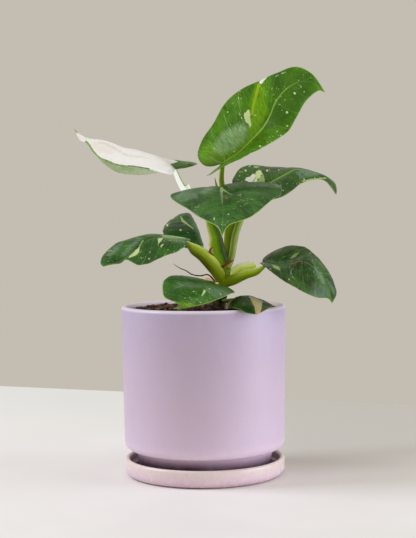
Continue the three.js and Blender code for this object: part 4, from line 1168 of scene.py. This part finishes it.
def turned(profile, closed):
    """Points and faces of a profile turned about the vertical axis. A profile that isn't closed starts and
    ends on the axis."""
    profile = np.array(profile, float)
    turn = np.linspace(0, 2 * np.pi, ROUND_STEPS, endpoint=False)
    inner = profile if closed else profile[1:-1]
    rings = np.stack([inner[:, :1] * np.cos(turn), inner[:, :1] * np.sin(turn),
                      np.broadcast_to(inner[:, 1:], (len(inner), ROUND_STEPS))], axis=-1)
    index = np.arange(len(inner) * ROUND_STEPS).reshape(len(inner), ROUND_STEPS)
    if closed:
        index = np.vstack([index, index[:1]])
    beside = np.roll(index, -1, axis=1)
    faces = np.stack([index[:-1], beside[:-1], beside[1:], index[1:]], axis=-1).reshape(-1, 4).tolist()
    points = rings.reshape(-1, 3)
    if not closed:
        low, high = len(points), len(points) + 1
        points = np.vstack([points, [0, 0, profile[0, 1]], [0, 0, profile[-1, 1]]])
        faces += [[low, b, a] for a, b in zip(index[0].tolist(), beside[0].tolist())]
        faces += [[high, a, b] for a, b in zip(index[-1].tolist(), beside[-1].tolist())]
    return points, faces


def glaze_material(name, pale, deep, roughness, mottle, heights):
    """Fired glaze: soft clouds of tone, fine speckle, a slightly uneven skin. heights are heights in mm with
    the colour
    painted there: the glaze's own colour with painted light and shade added."""
    s = Shader(name)
    low, high = heights[0][0], heights[-1][0]
    place = s.math("DIVIDE", s.math("SUBTRACT", s.height_mm(), low), high - low)
    main = s.ramp(place, [((height - low) / (high - low), srgb(*color)) for height, color in heights])
    color = s.mix(s.step(s.noise(38.0, 3.0), 0.35, 0.65, 0.0, 0.2), main, pale)
    color = s.mix(s.step(s.noise(6.0, 4.0, 0.6), 0.46, 0.7, 0.0, mottle), color, pale)
    color = s.mix(s.step(s.noise(2.4, 3.0, 0.6), 0.55, 0.75, 0.0, mottle), color, deep)
    height = s.times_add(s.noise(14.0), 1.0, s.times(s.noise(1.6, 2.0), 0.12))
    s.bump(height, 0.22)
    low, high = roughness
    return s, color, s.step(s.noise(12.0, 3.0), 0.3, 0.7, low, high)


# Heights in mm with the colour there: the glaze's own colour with painted light and shade. The pot's foot,
# down in the saucer, has painted shade, the lower edge of its body and its rim have a painted highlight, and
# it is lighter low down, partly painted light from the table.
POT_GLAZE_AND_LIGHT = [
    (6, (56, 42, 52)), (14, (92, 70, 84)), (17.5, (158, 128, 150)), (21, (212, 186, 208)),
    (22.2, (222, 198, 218)), (23, (240, 220, 236)), (26, (222, 200, 219)), (34, (209, 188, 210)),
    (60, (199, 179, 199)), (100, (189, 171, 193)), (141, (180, 165, 191)), (143, (228, 218, 234)),
]
# the saucer's top has a painted highlight along its lip
SAUCER_GLAZE_AND_LIGHT = [
    (0, (212, 182, 196)), (3, (216, 188, 208)), (6, (220, 196, 208)), (10, (224, 204, 206)),
    (14, (228, 211, 207)), (16, (240, 226, 226)),
]
# Painted light: the rim's inner face, in shade, is painted paler, up to this far out and from this height on,
# in mm
PAINTED_RIM_LIGHT, PAINTED_RIM_LIGHT_HEIGHT = (66.0, 68.0), (120.0, 130.0)
PAINTED_RIM_LIGHT_COLOR = srgb(242, 226, 240)


def make_pot():
    p = POT
    foot_bottom = SAUCER["floor"] + GAP
    rim_edge, inner = p["wall"] / 2, p["rim"] - p["wall"]
    floor_top = foot_bottom + p["recess"] + p["floor"]
    ring_inside, corner = p["foot"] - p["ring"], p["ring_corner"]
    wall_foot, wall_top = (p["low"], p["bottom"] + p["fillet"]), (p["rim"], p["height"] - rim_edge)
    profile = [
        (p["drain"], foot_bottom + p["recess"]), (ring_inside, foot_bottom + p["recess"]),
        (ring_inside, foot_bottom + corner), (ring_inside + corner, foot_bottom),
        (p["foot"] - corner, foot_bottom), (p["foot"], foot_bottom + corner), (p["foot_top"], p["bottom"]),
        *arc(p["low"] - p["fillet"], wall_foot[1], p["fillet"], -80, 0),
        *straight(wall_foot, wall_top, 12), wall_top,
        *arc(p["rim"] - rim_edge, wall_top[1], rim_edge, 0, 180, 16)[1:],
        (inner, p["step"] + p["step_width"]), (p["inner_foot"] + p["step_width"], p["step"]),
        (p["inner_foot"], p["step"] - p["step_drop"]), (p["inner_foot"], floor_top + p["inner_corner"]),
        (p["inner_foot"] - p["inner_corner"], floor_top), (p["drain"], floor_top),
    ]
    points, faces = turned(profile, closed=True)
    s, color, roughness = glaze_material(
        "pot_glaze", srgb(196, 180, 200), srgb(176, 158, 182), (0.4, 0.5), 0.15, POT_GLAZE_AND_LIGHT)
    # painted light on the rim's inner face
    inside = s.times(s.step(s.radius_mm(), *PAINTED_RIM_LIGHT, 1.0, 0.0), s.step(s.height_mm(), *PAINTED_RIM_LIGHT_HEIGHT))
    color = s.mix(inside, color, PAINTED_RIM_LIGHT_COLOR)
    piece = make_mesh("pot_glazed", points, faces, [s.finish(color, roughness)])
    piece.data.set_sharp_from_angle(angle=SHARP_ANGLE)
    settle(piece, "pot")


# The saucer's inside is darker, a painted shade, up to where its lip starts, in mm from the middle. Its foot
# is browner, up to a height in mm.
SAUCER_SHADE, SAUCER_SHADE_COLOR = (61.0, 63.6), srgb(104, 82, 98)
SAUCER_EDGE, SAUCER_EDGE_COLOR = (0.7, 1.3), srgb(140, 100, 78)


def make_saucer():
    q = SAUCER
    outer, lip = q["radius"] - q["base"], q["height"] - q["edge"]
    profile = [
        (0, 0), (q["base"], 0), *arc(q["base"], outer, outer, -90, 0)[1:],
        (q["radius"], lip), *arc(q["radius"] - q["wall"] / 2, lip, q["wall"] / 2, 0, 180, 16)[1:-1],
        (q["radius"] - q["wall"], lip),
        *arc(q["radius"] - q["wall"] - q["corner"], q["floor"] + q["corner"], q["corner"], 0, -90, 8),
        (0, q["floor"]),
    ]
    points, faces = turned(profile, closed=False)
    s, color, roughness = glaze_material(
        "saucer_glaze", srgb(226, 210, 208), srgb(200, 172, 190), (0.2, 0.3), 0.5, SAUCER_GLAZE_AND_LIGHT)
    # painted shade on the saucer's inside, round the pot's foot
    color = s.mix(s.step(s.radius_mm(), *SAUCER_SHADE, 1.0, 0.0), color, SAUCER_SHADE_COLOR)
    line = s.math("ADD", s.height_mm(), s.times(s.noise(3.0), 0.8))
    color = s.mix(s.step(line, *SAUCER_EDGE, 1.0, 0.0), color, SAUCER_EDGE_COLOR)
    piece = make_mesh("saucer_glazed", points, faces, [s.finish(color, roughness)])
    piece.data.set_sharp_from_angle(angle=SHARP_ANGLE)
    settle(piece, "saucer")


make_pot()
make_saucer()


# Potting soil: a rough body, and loose grains, chips and fibres on it. Distances from the middle, in mm:
# where the roughness fades, and how far out grains lie, reach and are pressed back to.
ROUGH_FADE = (64, 60)
GRAIN_LIMIT, GRAIN_REACH, GRAIN_WALL = 61.5, 66, 63.4
SOIL_SINK = 1.2


def soil_height(x, y):
    """Height of the soil's top at places in millimetres"""
    radius = np.hypot(x, y)
    levels = [SOIL[key] - SOIL_SINK for key in ("mound_level", "shoulder_level", "wall_level")]
    level = np.interp(radius, [0, SOIL["mound_radius"], ROUGH_FADE[0]], levels)
    place = np.stack([x, y, np.zeros_like(x)], axis=-1)
    rough = 1.1 * noise_at(place, 13.0, 1) + 0.9 * noise_at(place, 4.5, 2, 4)
    return level + rough * smoothstep(*ROUGH_FADE, radius)


def soil_material(name, tinted):
    s = Shader(name)
    tint = s.number("tint") if tinted else s.noise(2.2, 4.0, 0.7)
    color = s.ramp(tint, [
        (0.0, srgb(20, 12, 8)), (0.28, srgb(50, 30, 18)), (0.5, srgb(84, 52, 32)), (0.66, srgb(138, 80, 42)),
        (0.78, srgb(92, 66, 56)), (0.9, srgb(150, 112, 76)), (1.0, srgb(196, 176, 150)),
    ])
    color = s.mix(s.step(s.noise(0.8, 3.0, 0.7), 0.4, 0.7, 0.0, 0.7), color, srgb(24, 15, 10))
    s.bump(s.noise(0.6, 4.0, 0.7), 0.35)
    return s.finish(color, 0.88)


def make_soil():
    p = POT
    side, foot = p["rim"] - p["wall"] - GAP, p["inner_foot"] - GAP
    bottom = SAUCER["floor"] + GAP + p["recess"] + p["floor"] + GAP
    top_start = (side, SOIL["wall_level"])
    profile = [
        (0, bottom), (foot - p["inner_corner"], bottom), (foot, bottom + p["inner_corner"]),
        (foot, p["step"] - p["step_drop"] + GAP), (foot + p["step_width"], p["step"] + GAP),
        (side, p["step"] + p["step_width"] + GAP), *straight((side, 40), (side, 138), 8), top_start,
        *straight(top_start, (0, SOIL["mound_level"]), 90), (0, SOIL["mound_level"]),
    ]
    points, faces = turned(profile, closed=False)
    top = points[:, 2] > SOIL["wall_level"] - 0.5
    points[top, 2] = soil_height(points[top, 0], points[top, 1])
    piece = make_mesh("soil_bed", points, faces, [soil_material("soil_bed", False)])
    settle(piece, "potting_soil")


def ball(subdivisions):
    mesh = bmesh.new()
    bmesh.ops.create_icosphere(mesh, subdivisions=subdivisions, radius=1.0)
    points = np.array([v.co[:] for v in mesh.verts])
    faces = np.array([[v.index for v in f.verts] for f in mesh.faces])
    mesh.free()
    return points, faces


def make_grains():
    """Grains, flat chips and thin fibres: how many, faces, sizes in mm, and how flat and how long they are"""
    kinds = [
        (620, 2, (1.1, 2.5), (0.4, 0.7), (1.0, 1.5), (0.0, 0.95)),
        (2600, 1, (0.5, 1.3), (0.5, 0.9), (1.0, 1.5), (0.0, 1.0)),
        (110, 1, (0.35, 0.6), (0.6, 0.9), (7.0, 16.0), (0.3, 0.95)),
    ]
    all_points, all_faces, tints, count = [], [], [], 0
    for number, subdivisions, sizes, flats, lengths, tint_range in kinds:
        base, faces = ball(subdivisions)
        for _ in range(number):
            radius = GRAIN_LIMIT * math.sqrt(RNG.random())
            heading, spin = RNG.uniform(0, 2 * np.pi, 2)
            x, y = radius * math.cos(heading), radius * math.sin(heading)
            size, flat, length = RNG.uniform(*sizes), RNG.uniform(*flats), RNG.uniform(*lengths)
            reach = min(length * size, GRAIN_REACH - radius)
            shape = base * (1 + RNG.uniform(-0.2, 0.2, (len(base), 1))) * [reach, size, size * flat]
            tilt_x, tilt_y = RNG.normal(0, 0.3, 2) / (1 + 0.2 * length)
            tilt = Matrix.Rotation(tilt_x, 3, "X") @ Matrix.Rotation(tilt_y, 3, "Y")
            turn = Matrix.Rotation(spin, 3, "Z") @ tilt
            z = float(soil_height(np.array(x), np.array(y))) + size * flat * 0.25
            points = shape @ np.array(turn).T + [x, y, z]
            outside = np.hypot(points[:, 0], points[:, 1])
            points[:, :2] *= np.minimum(1, GRAIN_WALL / np.maximum(outside, 1e-6))[:, None]
            all_points.append(points)
            all_faces.append(faces + count)
            tints.append(np.full(len(base), RNG.uniform(*tint_range)))
            count += len(base)
    piece = make_mesh("soil_grains", np.vstack(all_points), np.vstack(all_faces),
                      [soil_material("soil_grains", True)], {"tint": np.concatenate(tints)})
    piece.data.shade_flat()
    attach(piece, "root")


def dress_roots():
    """Roots stay as the part has them, with a finer material"""
    s = Shader("root")
    color = s.mix(s.step(s.noise(3.0, 4.0), 0.4, 0.65), srgb(196, 172, 132), srgb(150, 118, 80))
    s.bump(s.noise(1.0, 3.0), 0.3)
    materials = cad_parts["roots"].data.materials
    materials.clear()
    materials.append(s.finish(color, 0.8))


make_soil()
make_grains()
dress_roots()


# Table and light
TABLE_BACK = ((-270.0, 551.0), (237.0, 358.0))
TABLE_REACH, TABLE_SIDE, TABLE_THICKNESS = 1600.0, 2500.0, 30.0
TABLE_COLORS = (srgb(240, 238, 234), srgb(244, 242, 239))
WALL_COLOR = srgb(196, 189, 178)

# Painted shadow: the table top is darker towards its far right, where the pot's shadow falls: from where to
# where, in mm, and how the border slants
TABLE_SHADOW_RIGHT, TABLE_SHADOW_BACK = (-80.0, 105.0), (-78.0, 30.0)
TABLE_SHADOW_SLANT = 0.35
TABLE_SHADOW_COLOR = srgb(203, 200, 192)
# further back, between these places, the whole top turns slightly greyer
TABLE_FAR, TABLE_FAR_COLOR = (100.0, 410.0), srgb(234, 235, 231)


def make_table():
    """Pale table top that ends behind the plant along a slanting edge"""
    left, right = (np.array([*corner, 0.0]) for corner in TABLE_BACK)
    along = unit(right - left)
    middle = (left + right) / 2
    toward = np.array([along[1], -along[0], 0.0])
    back = [middle - along * TABLE_SIDE, middle + along * TABLE_SIDE]
    top = [back[0], back[1], back[1] + toward * TABLE_REACH, back[0] + toward * TABLE_REACH]
    points = [*top, *(corner - [0, 0, TABLE_THICKNESS] for corner in top)]
    faces = [[3, 2, 1, 0], [4, 5, 6, 7], [0, 1, 5, 4], [1, 2, 6, 5], [2, 3, 7, 6], [3, 0, 4, 7]]
    s = Shader("table")
    color = s.mix(s.step(s.noise(140.0, 3.0), 0.35, 0.65), *TABLE_COLORS)
    x, y, _ = s.place_mm()
    color = s.mix(s.step(y, *TABLE_FAR), color, TABLE_FAR_COLOR)
    # painted shadow on the table's far right
    shadow_right = s.step(x, *TABLE_SHADOW_RIGHT)
    shadow_back = s.step(s.times_add(x, -TABLE_SHADOW_SLANT, y), *TABLE_SHADOW_BACK)
    color = s.mix(s.times(shadow_right, shadow_back), color, TABLE_SHADOW_COLOR)
    piece = make_mesh("table", points, faces, [s.finish(color, 0.5)])
    piece.data.shade_flat()


# Lamps: where they stand and aim, their size in mm, their watts and their colour
LAMPS = {
    "key": ((-1760, 60, 1445), (0, 0, 100), 1050, 33.0, srgb(234, 239, 254)),
    "fill": ((2160, -520, 330), (0, 0, 90), 1600, 50.0, srgb(235, 240, 254)),
}


def area_light(name, place, target, size, watts, color):
    data = bpy.data.lights.new(name, "AREA")
    data.size, data.energy, data.color = size * MM, watts, color[:3]
    lamp = bpy.data.objects.new(name, data)
    lamp.location = Vector(place) * MM
    lamp.rotation_euler = (Vector(target) - Vector(place)).to_track_quat("-Z", "Y").to_euler()
    bpy.context.scene.collection.objects.link(lamp)


def make_light():
    world = bpy.data.worlds.new("room")
    world.use_nodes = True
    world.node_tree.nodes["Background"].inputs["Color"].default_value = WALL_COLOR
    world.node_tree.nodes["Background"].inputs["Strength"].default_value = 1.0
    bpy.context.scene.world = world
    bpy.context.scene.view_settings.view_transform = "Standard"
    for name, lamp in LAMPS.items():
        area_light(name, *lamp)


make_table()
make_light()
make_camera()
